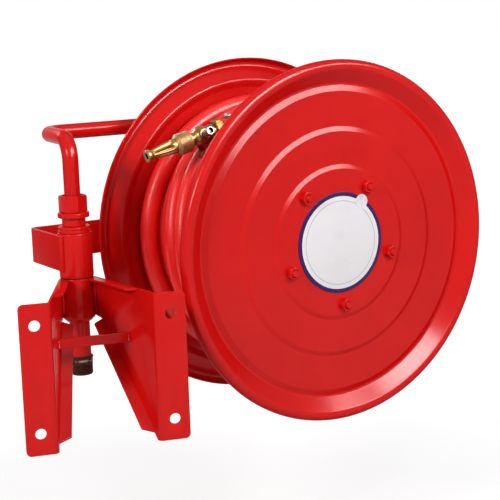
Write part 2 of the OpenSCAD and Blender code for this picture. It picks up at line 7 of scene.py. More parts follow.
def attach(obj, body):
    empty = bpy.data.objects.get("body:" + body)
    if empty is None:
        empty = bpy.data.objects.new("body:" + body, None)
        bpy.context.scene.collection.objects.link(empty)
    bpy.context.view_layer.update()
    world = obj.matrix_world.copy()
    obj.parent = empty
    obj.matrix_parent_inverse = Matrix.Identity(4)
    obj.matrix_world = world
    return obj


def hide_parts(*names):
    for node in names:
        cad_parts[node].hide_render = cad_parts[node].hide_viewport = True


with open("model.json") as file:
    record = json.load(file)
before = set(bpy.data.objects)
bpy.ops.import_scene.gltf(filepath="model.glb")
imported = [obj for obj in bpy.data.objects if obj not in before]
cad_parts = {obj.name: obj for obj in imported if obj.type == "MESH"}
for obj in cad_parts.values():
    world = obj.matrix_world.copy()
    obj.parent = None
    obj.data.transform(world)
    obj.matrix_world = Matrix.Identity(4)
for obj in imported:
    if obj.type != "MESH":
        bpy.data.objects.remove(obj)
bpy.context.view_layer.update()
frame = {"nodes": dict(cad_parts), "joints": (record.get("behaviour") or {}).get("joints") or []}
scene = bpy.context.scene
scene.view_settings.view_transform = "Standard"
mm = 0.001
mergeGap = 2e-6  # metres, doubles nearer than this are merged
plainCrease = 35  # degrees, edges sharper than this stay sharp
joints = {joint["name"]: joint for joint in frame["joints"]}
print("frame loaded,", len(frame["nodes"]), "nodes")


# places, worked out from the joints
def axesPlace(x, y, z, origin):
    place = Matrix.Identity(4)
    for row in range(3):
        place[row][0], place[row][1], place[row][2], place[row][3] = x[row], y[row], z[row], origin[row]
    return place


hoseAcross = 29.5
nozzleSet = {"yaw": 87.6, "turn": 104.3, "radius": 221.0, "ahead": 19.55, "run": 131.0}
upWay = Vector((0, 0, 1))
drumAxis = Vector(joints["drum_spin"]["axis"]).normalized()
reachWay = upWay.cross(drumAxis)
pivot = Vector(joints["swing"]["pos_m"])
columnPlace = Matrix.Translation((pivot.x, pivot.y, 0))
armPlace = axesPlace(drumAxis, reachWay, upWay, Vector((pivot.x, pivot.y, 0)))
drumPlace = axesPlace(reachWay, upWay, drumAxis, Vector(joints["drum_spin"]["pos_m"]))
nozzlePlace = (drumPlace @ Matrix.Rotation(math.radians(nozzleSet["turn"]), 4, "Z")
               @ Matrix.Translation((nozzleSet["radius"] * mm, 0, nozzleSet["ahead"] * mm))
               @ Matrix.Rotation(math.radians(180 + nozzleSet["yaw"]), 4, "X")
               @ Matrix.Translation((0, 0, nozzleSet["run"] * mm)))
stemWay = -Vector(joints["valve_lever"]["axis"]).normalized()
stemBack = -nozzlePlace.col[2].to_3d()
stemPlace = axesPlace(stemBack, stemWay.cross(stemBack), stemWay, Vector(joints["valve_lever"]["pos_m"]))
faceRear = Matrix.Rotation(math.pi, 4, "X")


# camera at the photograph's place
cameraSet = {"lens": 96.18, "sensor": 36.0, "place": (0.32029, 1.91536, 0.51816),
             "azimuth": 164.0, "elevation": 9.96, "roll": -1.95}


def addCamera(s):
    az, el, roll = (math.radians(s[key]) for key in ("azimuth", "elevation", "roll"))
    back = Vector((math.sin(az) * math.cos(el), -math.cos(az) * math.cos(el), math.sin(el)))
    right = (-back).cross(upWay).normalized()
    up = right.cross(-back)
    across = math.cos(roll) * right + math.sin(roll) * up
    upright = math.cos(roll) * up - math.sin(roll) * right
    data = bpy.data.cameras.new("photoCamera")
    data.lens, data.sensor_width = s["lens"], s["sensor"]
    camera = bpy.data.objects.new("photoCamera", data)
    scene.collection.objects.link(camera)
    camera.matrix_world = axesPlace(across, upright, back, Vector(s["place"]))
    scene.camera = camera


addCamera(cameraSet)
print("camera set")


# hands: picking, placing, finishing
def clearPicks():
    if bpy.context.mode != "OBJECT":
        bpy.ops.object.mode_set(mode="OBJECT")
    bpy.ops.object.select_all(action="DESELECT")


def pickOnly(*pieces):
    clearPicks()
    for piece in pieces:
        piece.select_set(True)
    bpy.context.view_layer.objects.active = pieces[0]


def putAt(piece, place):
    piece.matrix_world = place
    pickOnly(piece)
    bpy.ops.object.transform_apply(location=True, rotation=True, scale=True)
    return piece


def useModifier(piece, kind, **values):
    pickOnly(piece)
    modifier = piece.modifiers.new(kind.lower(), kind)
    for key, value in values.items():
        setattr(modifier, key, value)
    bpy.ops.object.modifier_apply(modifier=modifier.name)
    return piece


def smoothBy(piece, angle=plainCrease):
    pickOnly(piece)
    bpy.ops.object.shade_smooth_by_angle(angle=math.radians(angle))
    return piece


def joinAll(name, pieces):
    pickOnly(*pieces)
    bpy.ops.object.join()
    whole = bpy.context.object
    whole.name = name
    whole.data.name = name
    return whole


def copyOf(piece, name):
    twin = piece.copy()
    twin.data = piece.data.copy()
    twin.name = name
    scene.collection.objects.link(twin)
    return twin


def seat(piece, body, slot, finish, *nodes):
    piece.data.materials.clear()
    piece.data.materials.append(finish)
    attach(piece, body)
    if nodes:
        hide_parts(*nodes)
    return piece


# corners are (radius, height) with an optional rounding
def softened(corners, cuts=4):
    line = []
    for i, corner in enumerate(corners):
        here = Vector(corner[:2])
        rounding = corner[2] if len(corner) > 2 else 0
        if not rounding or i in (0, len(corners) - 1):
            line.append((here.x, here.y))
            continue
        back = (Vector(corners[i - 1][:2]) - here).normalized()
        ahead = (Vector(corners[i + 1][:2]) - here).normalized()
        half = back.angle(ahead) / 2
        centre = here + (back + ahead).normalized() * rounding / math.sin(half)
        start = here + back * rounding / math.tan(half) - centre
        end = here + ahead * rounding / math.tan(half) - centre
        sweep = math.atan2(start.x * end.y - start.y * end.x, start.dot(end))
        for k in range(cuts + 1):
            turn = sweep * k / cuts
            line.append((centre.x + start.x * math.cos(turn) - start.y * math.sin(turn),
                         centre.y + start.x * math.sin(turn) + start.y * math.cos(turn)))
    return line


def arcLine(centre, radius, start, end, cuts):
    turns = [math.radians(start + (end - start) * k / cuts) for k in range(cuts + 1)]
    return [(centre[0] + radius * math.cos(turn), centre[1] + radius * math.sin(turn)) for turn in turns]


# one point pulled out along the outline, then spun about the axis
def turnedPiece(name, outline, steps):
    clearPicks()
    bpy.ops.mesh.primitive_plane_add(size=mm)
    piece = bpy.context.object
    piece.name = name
    bpy.ops.object.mode_set(mode="EDIT")
    bpy.ops.mesh.select_all(action="SELECT")
    bpy.ops.mesh.merge(type="CENTER")
    bpy.ops.transform.translate(value=(outline[0][0] * mm, 0, outline[0][1] * mm))
    for a, b in zip(outline, outline[1:]):
        move = ((b[0] - a[0]) * mm, 0, (b[1] - a[1]) * mm)
        bpy.ops.mesh.extrude_region_move(TRANSFORM_OT_translate={"value": move})
    bpy.ops.mesh.select_all(action="SELECT")
    bpy.ops.mesh.spin(steps=steps, angle=2 * math.pi, center=(0, 0, 0), axis=(0, 0, 1))
    bpy.ops.mesh.select_all(action="SELECT")
    bpy.ops.mesh.remove_doubles(threshold=mergeGap)
    bpy.ops.mesh.normals_make_consistent(inside=False)
    bpy.ops.object.mode_set(mode="OBJECT")
    return piece


def turnedAt(place, name, outline, turns, crease=plainCrease):
    return putAt(smoothBy(turnedPiece(name, outline, turns), crease), place)


def ringOutline(inner, outer, low, high, rounding):
    middle = (low + high) / 2
    return softened([(inner, middle), (inner, low), (outer, low, rounding), (outer, high, rounding),
                     (inner, high), (inner, middle)])


# a hexagon bar cut to a turned blank, which leaves round chamfers and a countersunk bore
hexSet = {"spare": 0.4, "slope": 0.55, "bulge": (0.72, 0.36), "turns": 48, "edge": 0.3, "edgeAngle": 25,
          "crease": 30}


def hexPiece(name, across, low, high, bore, sink, shoulder=0.475):
    clearPicks()
    corner = across / 2 / math.cos(math.pi / 6)
    middle = (low + high) / 2
    bpy.ops.mesh.primitive_cylinder_add(vertices=6, radius=corner * mm, depth=(high - low) * mm,
                                        location=(0, 0, middle * mm))
    piece = bpy.context.object
    piece.name = name
    bpy.ops.object.transform_apply(location=True)
    flat, outer = across * shoulder, corner + hexSet["spare"]
    fall = (outer - flat) * hexSet["slope"]
    bulge, drop = flat + (outer - flat) * hexSet["bulge"][0], fall * hexSet["bulge"][1]
    blank = turnedPiece(name + "Blank", [
        (bore, middle), (bore, low + sink), (bore + sink, low), (flat, low), (bulge, low + drop),
        (outer, low + fall), (outer, high - fall), (bulge, high - drop), (flat, high), (bore + sink, high),
        (bore, high - sink), (bore, middle)], hexSet["turns"])
    useModifier(piece, "BOOLEAN", operation="INTERSECT", object=blank, solver="EXACT")
    bpy.data.objects.remove(blank)
    useModifier(piece, "BEVEL", width=hexSet["edge"] * mm, segments=2, limit_method="ANGLE",
                angle_limit=math.radians(hexSet["edgeAngle"]))
    return smoothBy(piece, hexSet["crease"])


# a solid's own mesh with its flat faces joined and its edges rounded
def bevelledCopy(node, name, width, segments=3, angle=30, flatAngle=0.4):
    piece = bpy.data.objects.new(name, frame["nodes"][node].data.copy())
    scene.collection.objects.link(piece)
    pickOnly(piece)
    bpy.ops.object.mode_set(mode="EDIT")
    bpy.ops.mesh.select_all(action="SELECT")
    bpy.ops.mesh.remove_doubles(threshold=mergeGap)
    bpy.ops.mesh.dissolve_limited(angle_limit=math.radians(flatAngle))
    bpy.ops.object.mode_set(mode="OBJECT")
    useModifier(piece, "BEVEL", width=width * mm, segments=segments, limit_method="ANGLE",
                angle_limit=math.radians(angle), harden_normals=False)
    return smoothBy(piece, angle)


def tubeAlong(name, points, radius, cuts, swell=None, crease=50):
    curve = bpy.data.curves.new(name, "CURVE")
    curve.dimensions = "3D"
    curve.bevel_depth = radius * mm
    curve.bevel_resolution = cuts
    curve.use_fill_caps = True
    spline = curve.splines.new("POLY")
    spline.points.add(len(points) - 1)
    for i, point in enumerate(points):
        spline.points[i].co = (point[0], point[1], point[2], 1)
        spline.points[i].radius = swell[i] if swell else 1
    piece = bpy.data.objects.new(name, curve)
    scene.collection.objects.link(piece)
    pickOnly(piece)
    bpy.ops.object.convert(target="MESH")
    return smoothBy(bpy.context.object, crease)


# shared surface effects
def startGroup(name, inputs, outputs):
    tree = bpy.data.node_groups.new(name, "ShaderNodeTree")
    for label, kind, value in inputs:
        socket = tree.interface.new_socket(name=label, in_out="INPUT", socket_type="NodeSocket" + kind)
        if value is not None:
            socket.default_value = value
    for label, kind in outputs:
        tree.interface.new_socket(name=label, in_out="OUTPUT", socket_type="NodeSocket" + kind)
    return tree, tree.nodes.new("NodeGroupInput"), tree.nodes.new("NodeGroupOutput")


def addNode(tree, kind, **values):
    node = tree.nodes.new("ShaderNode" + kind)
    for key, value in values.items():
        if hasattr(node, key):
            setattr(node, key, value)
        else:
            node.inputs[key.replace("_", " ").title()].default_value = value
    return node


def mathNode(tree, operation, a, b=None):
    node = tree.nodes.new("ShaderNodeMath")
    node.operation = operation
    for socket, value in zip(node.inputs, (a, b)):
        if isinstance(value, (int, float)):
            socket.default_value = value
        elif value is not None:
            tree.links.new(value, socket)
    return node.outputs[0]


def spread(tree, value, low, high, fromLow=0.0, fromHigh=1.0):
    node = tree.nodes.new("ShaderNodeMapRange")
    for socket, number in zip(node.inputs[1:5], (fromLow, fromHigh, low, high)):
        socket.default_value = number
    tree.links.new(value, node.inputs[0])
    return node.outputs[0]


def axisParts(tree, source):
    parts = tree.nodes.new("ShaderNodeSeparateXYZ")
    tree.links.new(source, parts.inputs[0])
    return parts.outputs


def mixColour(tree, factor, a, b):
    node = tree.nodes.new("ShaderNodeMix")
    node.data_type = "RGBA"
    for socket, value in ((node.inputs[0], factor), (node.inputs[6], a), (node.inputs[7], b)):
        if isinstance(value, (int, float)):
            socket.default_value = value
        elif isinstance(value, tuple):
            socket.default_value = (*value, 1)
        else:
            tree.links.new(value, socket)
    return node.outputs[2]


# a From pair is the stretch of the noise that becomes the mask
skinSet = {"peelScale": 420.0, "peelDetail": 1.5, "mottleScale": 9.0, "mottleDetail": 4.0, "mottleRough": 0.6,
           "mottleFrom": (0.3, 0.7), "dustScale": 1400.0, "dustDetail": 2.0, "dustFrom": (0.66, 0.8)}


def paintGroup(s):
    inputs = [("Vector", "Vector", None), ("Peel Scale", "Float", s["peelScale"]),
              ("Mottle Scale", "Float", s["mottleScale"])]
    outputs = [("Peel", "Float"), ("Mottle", "Float"), ("Dust", "Float")]
    tree, way, out = startGroup("paintSkin", inputs, outputs)
    peel = addNode(tree, "TexNoise", detail=s["peelDetail"])
    mottle = addNode(tree, "TexNoise", detail=s["mottleDetail"], roughness=s["mottleRough"])
    dust = addNode(tree, "TexNoise", scale=s["dustScale"], detail=s["dustDetail"])
    for node in (peel, mottle, dust):
        tree.links.new(way.outputs["Vector"], node.inputs["Vector"])
    tree.links.new(way.outputs["Peel Scale"], peel.inputs["Scale"])
    tree.links.new(way.outputs["Mottle Scale"], mottle.inputs["Scale"])
    tree.links.new(peel.outputs[0], out.inputs["Peel"])
    tree.links.new(spread(tree, mottle.outputs[0], 0, 1, *s["mottleFrom"]), out.inputs["Mottle"])
    tree.links.new(spread(tree, dust.outputs[0], 0, 1, *s["dustFrom"]), out.inputs["Dust"])
    return tree


turningSet = {"lines": 500.0, "waver": 1.2, "waverDetail": 2.0, "waverScale": 3.0,
              "stainScale": 55.0, "stainDetail": 5.0, "stainRough": 0.62, "stainFrom": (0.35, 0.7),
              "scratchScale": 700.0, "scratchDetail": 3.0, "scratchFrom": (0.4, 0.75)}


def turnedGroup(s):
    tree, way, out = startGroup("turnedLines", [("Vector", "Vector", None), ("Lines", "Float", s["lines"])],
                                [("Cut", "Float"), ("Stain", "Float"), ("Scratch", "Float")])
    bands = addNode(tree, "TexWave", bands_direction="Z", distortion=s["waver"], detail=s["waverDetail"])
    bands.inputs["Detail Scale"].default_value = s["waverScale"]
    stain = addNode(tree, "TexNoise", scale=s["stainScale"], detail=s["stainDetail"],
                    roughness=s["stainRough"])
    scratch = addNode(tree, "TexNoise", scale=s["scratchScale"], detail=s["scratchDetail"])
    for node in (bands, stain, scratch):
        tree.links.new(way.outputs["Vector"], node.inputs["Vector"])
    tree.links.new(way.outputs["Lines"], bands.inputs["Scale"])
    tree.links.new(bands.outputs[1], out.inputs["Cut"])
    tree.links.new(spread(tree, stain.outputs[0], 0, 1, *s["stainFrom"]), out.inputs["Stain"])
    tree.links.new(spread(tree, scratch.outputs[0], 0, 1, *s["scratchFrom"]), out.inputs["Scratch"])
    return tree


weaveSet = {"strands": 42.0, "cloudScale": 14.0, "cloudDetail": 3.0, "cloudFrom": (0.3, 0.7),
            "speckScale": 900.0, "speckDetail": 2.0, "speckFrom": (0.58, 0.76)}


# the hose's map runs once round its girth and in metres along it
def coverGroup(s):
    tree, way, out = startGroup("hoseCover", [("Vector", "Vector", None), ("Strands", "Float", s["strands"])],
                                [("Weave", "Float"), ("Cloud", "Float"), ("Speck", "Float")])
    around, run, _ = axisParts(tree, way.outputs["Vector"])
    girth = math.pi * hoseAcross * mm
    along = mathNode(tree, "MULTIPLY", run, 1 / girth)
    waves = []
    for sign in ("ADD", "SUBTRACT"):
        lean = mathNode(tree, sign, around, along)
        turns = mathNode(tree, "MULTIPLY", lean, way.outputs["Strands"])
        waves.append(mathNode(tree, "SINE", mathNode(tree, "MULTIPLY", turns, 2 * math.pi)))
    weave = mathNode(tree, "MAXIMUM", waves[0], waves[1])
    tree.links.new(spread(tree, weave, 0, 1, -1, 1), out.inputs["Weave"])
    joined = tree.nodes.new("ShaderNodeCombineXYZ")
    tree.links.new(mathNode(tree, "MULTIPLY", around, girth), joined.inputs[0])
    tree.links.new(run, joined.inputs[1])
    cloud = addNode(tree, "TexNoise", scale=s["cloudScale"], detail=s["cloudDetail"])
    speck = addNode(tree, "TexNoise", scale=s["speckScale"], detail=s["speckDetail"])
    for node, label, stretch in ((cloud, "Cloud", s["cloudFrom"]), (speck, "Speck", s["speckFrom"])):
        tree.links.new(joined.outputs[0], node.inputs["Vector"])
        tree.links.new(spread(tree, node.outputs[0], 0, 1, *stretch), out.inputs[label])
    return tree


groups = {"paint": paintGroup(skinSet), "turned": turnedGroup(turningSet), "cover": coverGroup(weaveSet)}


def startFinish(name, group, values, place=None, uv=False):
    finish = bpy.data.materials.new(name)
    finish.use_nodes = True
    tree = finish.node_tree
    tree.nodes.clear()
    out = tree.nodes.new("ShaderNodeOutputMaterial")
    shader = tree.nodes.new("ShaderNodeBsdfPrincipled")
    tree.links.new(shader.outputs[0], out.inputs[0])
    source = tree.nodes.new("ShaderNodeTexCoord").outputs["UV" if uv else "Object"]
    if place:
        turn = tree.nodes.new("ShaderNodeMapping")
        turn.vector_type = "TEXTURE"
        turn.inputs["Location"].default_value = place.to_translation()
        turn.inputs["Rotation"].default_value = place.to_euler()
        tree.links.new(source, turn.inputs[0])
        source = turn.outputs[0]
    effect = tree.nodes.new("ShaderNodeGroup")
    effect.node_tree = groups[group]
    tree.links.new(source, effect.inputs["Vector"])
    for key, value in values.items():
        effect.inputs[key].default_value = value
    return finish, tree, shader, effect, source


def addBump(tree, shader, height, strength, distance):
    bump = tree.nodes.new("ShaderNodeBump")
    bump.inputs["Strength"].default_value = strength
    bump.inputs["Distance"].default_value = distance
    tree.links.new(height, bump.inputs["Height"])
    tree.links.new(bump.outputs[0], shader.inputs["Normal"])


def feedShader(tree, shader, colour, roughness):
    tree.links.new(colour, shader.inputs["Base Color"])
    tree.links.new(roughness, shader.inputs["Roughness"])


# shine that falls off where the surface turns away from the eye
def addShine(tree, shader, front, side, fromTurn, toTurn):
    turnAway = tree.nodes.new("ShaderNodeLayerWeight").outputs["Facing"]
    shine = spread(tree, turnAway, front, side, fromTurn, toTurn)
    tree.links.new(shine, shader.inputs["Specular IOR Level"])


# distance from the local axis
def axisRadius(tree, source):
    flat = addNode(tree, "VectorMath", operation="MULTIPLY")
    flat.inputs[1].default_value = (1, 1, 0)
    tree.links.new(source, flat.inputs[0])
    size = addNode(tree, "VectorMath", operation="LENGTH")
    tree.links.new(flat.outputs[0], size.inputs[0])
    return size.outputs["Value"]


enamelSet = {"deep": (0.57, 0.0045, 0.004), "bright": (0.64, 0.0075, 0.006), "dust": (0.72, 0.3, 0.28),
             "dustShare": 0.12, "rough": (0.16, 0.23), "bump": (0.1, 0.0005),
             "shine": (0.16, 0.01, 0.22, 0.5)}


def enamelFinish(s):
    finish, tree, shader, skin, _ = startFinish("redEnamel", "paint", {})
    colour = mixColour(tree, skin.outputs["Mottle"], s["deep"], s["bright"])
    dusty = mathNode(tree, "MULTIPLY", skin.outputs["Dust"], s["dustShare"])
    feedShader(tree, shader, mixColour(tree, dusty, colour, s["dust"]),
               spread(tree, skin.outputs["Mottle"], *s["rough"]))
    addBump(tree, shader, skin.outputs["Peel"], *s["bump"])
    addShine(tree, shader, *s["shine"])
    return finish


# metals with turning lines round the axis of their place, and painted shade in the bore where a hole radius
# is given
metalSet = {
    "brassTurned": {"dull": (0.17, 0.088, 0.028), "bright": (0.31, 0.18, 0.068), "rough": 0.36,
                    "place": nozzlePlace, "lines": 700.0, "cut": 0.08, "hole": 4.9},
    "brassSatin": {"dull": (0.2, 0.105, 0.045), "bright": (0.31, 0.18, 0.085), "rough": 0.42,
                   "place": nozzlePlace, "lines": 420.0, "cut": 0.3},
    "brassCast": {"dull": (0.16, 0.08, 0.024), "bright": (0.26, 0.135, 0.046), "rough": 0.26,
                  "place": nozzlePlace, "lines": 160.0, "cut": 0.02},
    # near-black brass, used for the thrust washer between the sleeves
    "brassNearBlack": {"dull": (0.02, 0.006, 0.004), "bright": (0.07, 0.02, 0.01), "rough": 0.5,
                 "lines": 300.0, "cut": 0.05},
    "zincSteel": {"dull": (0.4, 0.4, 0.39), "bright": (0.62, 0.62, 0.61), "rough": 0.3,
                  "place": drumPlace, "lines": 500.0, "cut": 0.08},
    "clampSteel": {"dull": (0.05, 0.045, 0.042), "bright": (0.34, 0.33, 0.32), "rough": 0.36,
                   "place": nozzlePlace, "lines": 260.0, "cut": 0.2},
    "pearlSilver": {"dull": (0.5, 0.48, 0.5), "bright": (0.72, 0.7, 0.72), "rough": 0.3,
                    "place": drumPlace, "lines": 60.0, "cut": 0.05, "metallic": 0.55},
}
# boreShade is the painted shade colour laid inside a bore
cutSet = {"roughMore": 0.16, "depth": 0.0002, "boreShade": (0.02, 0.012, 0.006)}


def metalFinish(name, dull, bright, rough, lines, cut, place=None, metallic=1.0, hole=0.0):
    finish, tree, shader, skin, source = startFinish(name, "turned", {"Lines": lines}, place)
    colour = mixColour(tree, skin.outputs["Stain"], bright, dull)
    # painted shade: near-black inside the hole radius, where the bore lies in shadow
    if hole:
        inside = mathNode(tree, "LESS_THAN", axisRadius(tree, source), hole * mm)
        colour = mixColour(tree, inside, colour, cutSet["boreShade"])
    roughness = spread(tree, skin.outputs["Scratch"], rough, rough + cutSet["roughMore"])
    feedShader(tree, shader, colour, roughness)
    shader.inputs["Metallic"].default_value = metallic
    addBump(tree, shader, skin.outputs["Cut"], cut, cutSet["depth"])
    return finish


coverSet = {"deep": (0.84, 0.014, 0.012), "bright": (0.93, 0.022, 0.017), "speck": (0.8, 0.16, 0.15),
            "speckShare": 0.35, "rough": (0.34, 0.24), "bump": (0.2, 0.0004), "shine": (0.3, 0.04, 0.35, 0.8)}


def hoseFinish(s):
    finish, tree, shader, skin, _ = startFinish("hoseRed", "cover", {}, uv=True)
    colour = mixColour(tree, skin.outputs["Cloud"], s["deep"], s["bright"])
    specked = mathNode(tree, "MULTIPLY", skin.outputs["Speck"], s["speckShare"])
    feedShader(tree, shader, mixColour(tree, specked, colour, s["speck"]),
               spread(tree, skin.outputs["Weave"], *s["rough"]))
    addBump(tree, shader, skin.outputs["Weave"], *s["bump"])
    addShine(tree, shader, *s["shine"])
    return finish


rubberSet = {"deep": (0.012, 0.012, 0.012), "bright": (0.03, 0.03, 0.029), "peel": 900.0, "rough": 0.7,
             "bump": (0.2, 0.0003)}


def rubberFinish(s):
    finish, tree, shader, skin, _ = startFinish("sealBlack", "paint", {"Peel Scale": s["peel"]})
    colour = mixColour(tree, skin.outputs["Mottle"], s["deep"], s["bright"])
    tree.links.new(colour, shader.inputs["Base Color"])
    shader.inputs["Roughness"].default_value = s["rough"]
    addBump(tree, shader, skin.outputs["Peel"], *s["bump"])
    return finish


# dark iron with a pale band round the socket's top, and pale dust specks
ironSet = {"deep": (0.024, 0.007, 0.005), "bright": (0.075, 0.02, 0.012), "paleBandAndDust": (0.46, 0.36, 0.28),
           "peel": 700.0, "mottle": 160.0, "bandAt": -35.4, "bandHalf": (1.2, 2.4), "bandShare": 0.8,
           "patches": (0.4, 0.75), "rough": (0.35, 0.6), "metallic": 0.1, "shine": 0.08,
           "bump": (0.3, 0.0004)}


def ironFinish(s):
    scales = {"Peel Scale": s["peel"], "Mottle Scale": s["mottle"]}
    finish, tree, shader, skin, source = startFinish("bandedIron", "paint", scales)
    colour = mixColour(tree, skin.outputs["Mottle"], s["deep"], s["bright"])
    # a pale band round the socket's top, broken into patches by the mottle
    height = mathNode(tree, "SUBTRACT", axisParts(tree, source)[2], s["bandAt"] * mm)
    inner, outer = (half * mm for half in s["bandHalf"])
    band = spread(tree, mathNode(tree, "ABSOLUTE", height), s["bandShare"], 0, inner, outer)
    band = mathNode(tree, "MULTIPLY", band, spread(tree, skin.outputs["Mottle"], 0, 1, *s["patches"]))
    paleBandAndDust = mathNode(tree, "MAXIMUM", band, skin.outputs["Dust"])
    feedShader(tree, shader, mixColour(tree, paleBandAndDust, colour, s["paleBandAndDust"]),
               spread(tree, skin.outputs["Mottle"], *s["rough"]))
    shader.inputs["Metallic"].default_value = s["metallic"]
    shader.inputs["Specular IOR Level"].default_value = s["shine"]
    addBump(tree, shader, skin.outputs["Peel"], *s["bump"])
    return finish


# the stem's socket has painted shade round a bright core, and its rim is bright
stemSet = {"dull": (0.14, 0.135, 0.13), "bright": (0.3, 0.3, 0.31), "rimPale": (0.86, 0.86, 0.87),
           "socketShade": (0.02, 0.018, 0.017), "socket": 4.7, "core": 2.4, "rimFrom": 40.9, "lines": 500.0,
           "rough": (0.28, 0.42), "metallic": 0.85, "bump": (0.08, 0.0002)}


def stemFinish(s):
    finish, tree, shader, skin, source = startFinish("stemSteel", "turned", {"Lines": s["lines"]}, stemPlace)
    radius = axisRadius(tree, source)
    inside = mathNode(tree, "LESS_THAN", radius, s["socket"] * mm)
    pastCore = mathNode(tree, "GREATER_THAN", radius, s["core"] * mm)
    top = mathNode(tree, "GREATER_THAN", axisParts(tree, source)[2], s["rimFrom"] * mm)
    colour = mixColour(tree, skin.outputs["Stain"], s["bright"], s["dull"])
    colour = mixColour(tree, top, colour, s["rimPale"])
    # painted shade in the socket ring between the core and the socket's edge
    colour = mixColour(tree, mathNode(tree, "MULTIPLY", inside, pastCore), colour, s["socketShade"])
    feedShader(tree, shader, colour, spread(tree, skin.outputs["Scratch"], *s["rough"]))
    shader.inputs["Metallic"].default_value = s["metallic"]
    addBump(tree, shader, skin.outputs["Cut"], *s["bump"])
    return finish


# radii of the label's rings in millimetres
labelSet = {"edge": 84.0, "thick": 1.2, "soft": 0.5, "ring": (77.2, 84.2), "line": 69.5, "lineWidth": 0.9,
            "white": ((0.77, 0.745, 0.765), (0.81, 0.785, 0.805)), "lineGrey": (0.36, 0.35, 0.38),
            "violet": (0.03, 0.004, 0.085), "peel": 600.0, "rough": (0.26, 0.34), "shine": 0.2,
            "bump": (0.05, 0.0003), "turns": 96, "crease": 40}


def labelFinish(s):
    scales = {"Peel Scale": s["peel"]}
    finish, tree, shader, skin, source = startFinish("labelWhite", "paint", scales, drumPlace)
    radius = mathNode(tree, "MULTIPLY", axisRadius(tree, source), 1 / mm)
    ring = mathNode(tree, "MULTIPLY", mathNode(tree, "GREATER_THAN", radius, s["ring"][0]),
                    mathNode(tree, "LESS_THAN", radius, s["ring"][1]))
    fromLine = mathNode(tree, "ABSOLUTE", mathNode(tree, "SUBTRACT", radius, s["line"]))
    line = mathNode(tree, "LESS_THAN", fromLine, s["lineWidth"] / 2)
    colour = mixColour(tree, skin.outputs["Mottle"], *s["white"])
    colour = mixColour(tree, line, colour, s["lineGrey"])
    feedShader(tree, shader, mixColour(tree, ring, colour, s["violet"]),
               spread(tree, skin.outputs["Mottle"], *s["rough"]))
    shader.inputs["Specular IOR Level"].default_value = s["shine"]
    addBump(tree, shader, skin.outputs["Peel"], *s["bump"])
    return finish


redEnamel = enamelFinish(enamelSet)
metals = {name: metalFinish(name, **values) for name, values in metalSet.items()}
stemSteel = stemFinish(stemSet)
hoseRed = hoseFinish(coverSet)
sealBlack = rubberFinish(rubberSet)
bandedIron = ironFinish(ironSet)
labelWhite = labelFinish(labelSet)
print("finishes made")


# the hose, its whole length wound on the drum, in millimetres and degrees round it
hoseSet = {"sides": 20, "laps": (9, 9), "radii": (161.8, 191.35, 221.0), "innerEnd": 123.05,
           "outerEnd": 118.55, "spigotTurn": 93.5, "spigotRadius": 162.0, "spigotRun": (13.0, 24.0),
           "spigotEase": (6, 26), "straightMost": 55, "endGaps": (5, 2),
           "crossFrom": 40, "crossSpan": 140, "climb": 100,
           "innerStep": 7.5, "outerStep": 5, "step": 33.0, "frontTurns": 5, "firstTurn": -113.05,
           "coilCross": 240, "coilSpan": 100, "closeFrom": 455, "closeSpan": 50, "endLane": 3, "settle": 10.5,
           "leaveSpan": 110, "crossingRadius": 253.0, "liftSpan": 60, "dropFrom": 100, "dropSpan": 72,
           "tailEnd": -40.0, "tailCuts": 5, "crease": 50}


def ease(t):
    t = min(1.0, max(0.0, t))
    return t * t * (3 - 2 * t)


def onDrum(turn, radius, along):
    a = math.radians(turn)
    return Vector((radius * math.cos(a), radius * math.sin(a), along))


# two full layers, the first from the rear to the front and the second back again
def innerTurn(s, turn):
    first, both = s["laps"][0], sum(s["laps"])
    past = turn - s["crossFrom"]
    place = -s["innerEnd"]
    for k in range(1, first):
        place += 2 * s["innerEnd"] / (first - 1) * ease((past - 360 * k) / s["crossSpan"])
    toSecond = ease((past - 360 * first) / s["climb"] + 1)
    place += (s["outerEnd"] - s["innerEnd"]) * toSecond
    for k in range(first + 1, both):
        place -= 2 * s["outerEnd"] / (s["laps"][1] - 1) * ease((past - 360 * k) / s["crossSpan"])
    toOuter = ease((past - 360 * both) / s["climb"] + 1)
    place += (s["firstTurn"] + s["outerEnd"]) * toOuter
    low, middle, high = s["radii"]
    return onDrum(turn, low + (middle - low) * toSecond + (high - middle) * toOuter, place)


# front turns leave the hose end's lane free at the top and close up below it
def lanes(s, i):
    k = s["frontTurns"] - i
    early = s["outerEnd"] - s["step"] * (k if k < s["endLane"] else k + 1)
    late = s["outerEnd"] - s["settle"] - s["step"] * k
    return early, late


def outerTurn(s, turn):
    lap = math.floor((turn - s["coilCross"]) / 360)
    start = s["firstTurn"] if lap < 1 else lanes(s, lap)[1]
    place = start
    pastEnd = turn - s["coilCross"] - 360 * s["frontTurns"]
    if lap >= s["frontTurns"]:
        place += (nozzleSet["ahead"] - start) * ease(pastEnd / s["leaveSpan"])
    elif lap >= 0:
        early, late = lanes(s, lap + 1)
        lapTurn = turn - 360 * lap
        place += (early - start) * ease((lapTurn - s["coilCross"]) / s["coilSpan"])
        place += (late - early) * ease((lapTurn - s["closeFrom"]) / s["closeSpan"])
    rise = ease((pastEnd + s["liftSpan"]) / s["liftSpan"]) - ease((pastEnd - s["dropFrom"]) / s["dropSpan"])
    outer = s["radii"][2]
    return onDrum(s["crossFrom"] + turn, outer + (s["crossingRadius"] - outer) * rise, place)


def nozzlePoint(along):
    return drumPlace.inverted() @ nozzlePlace @ Vector((0, 0, along * mm)) / mm


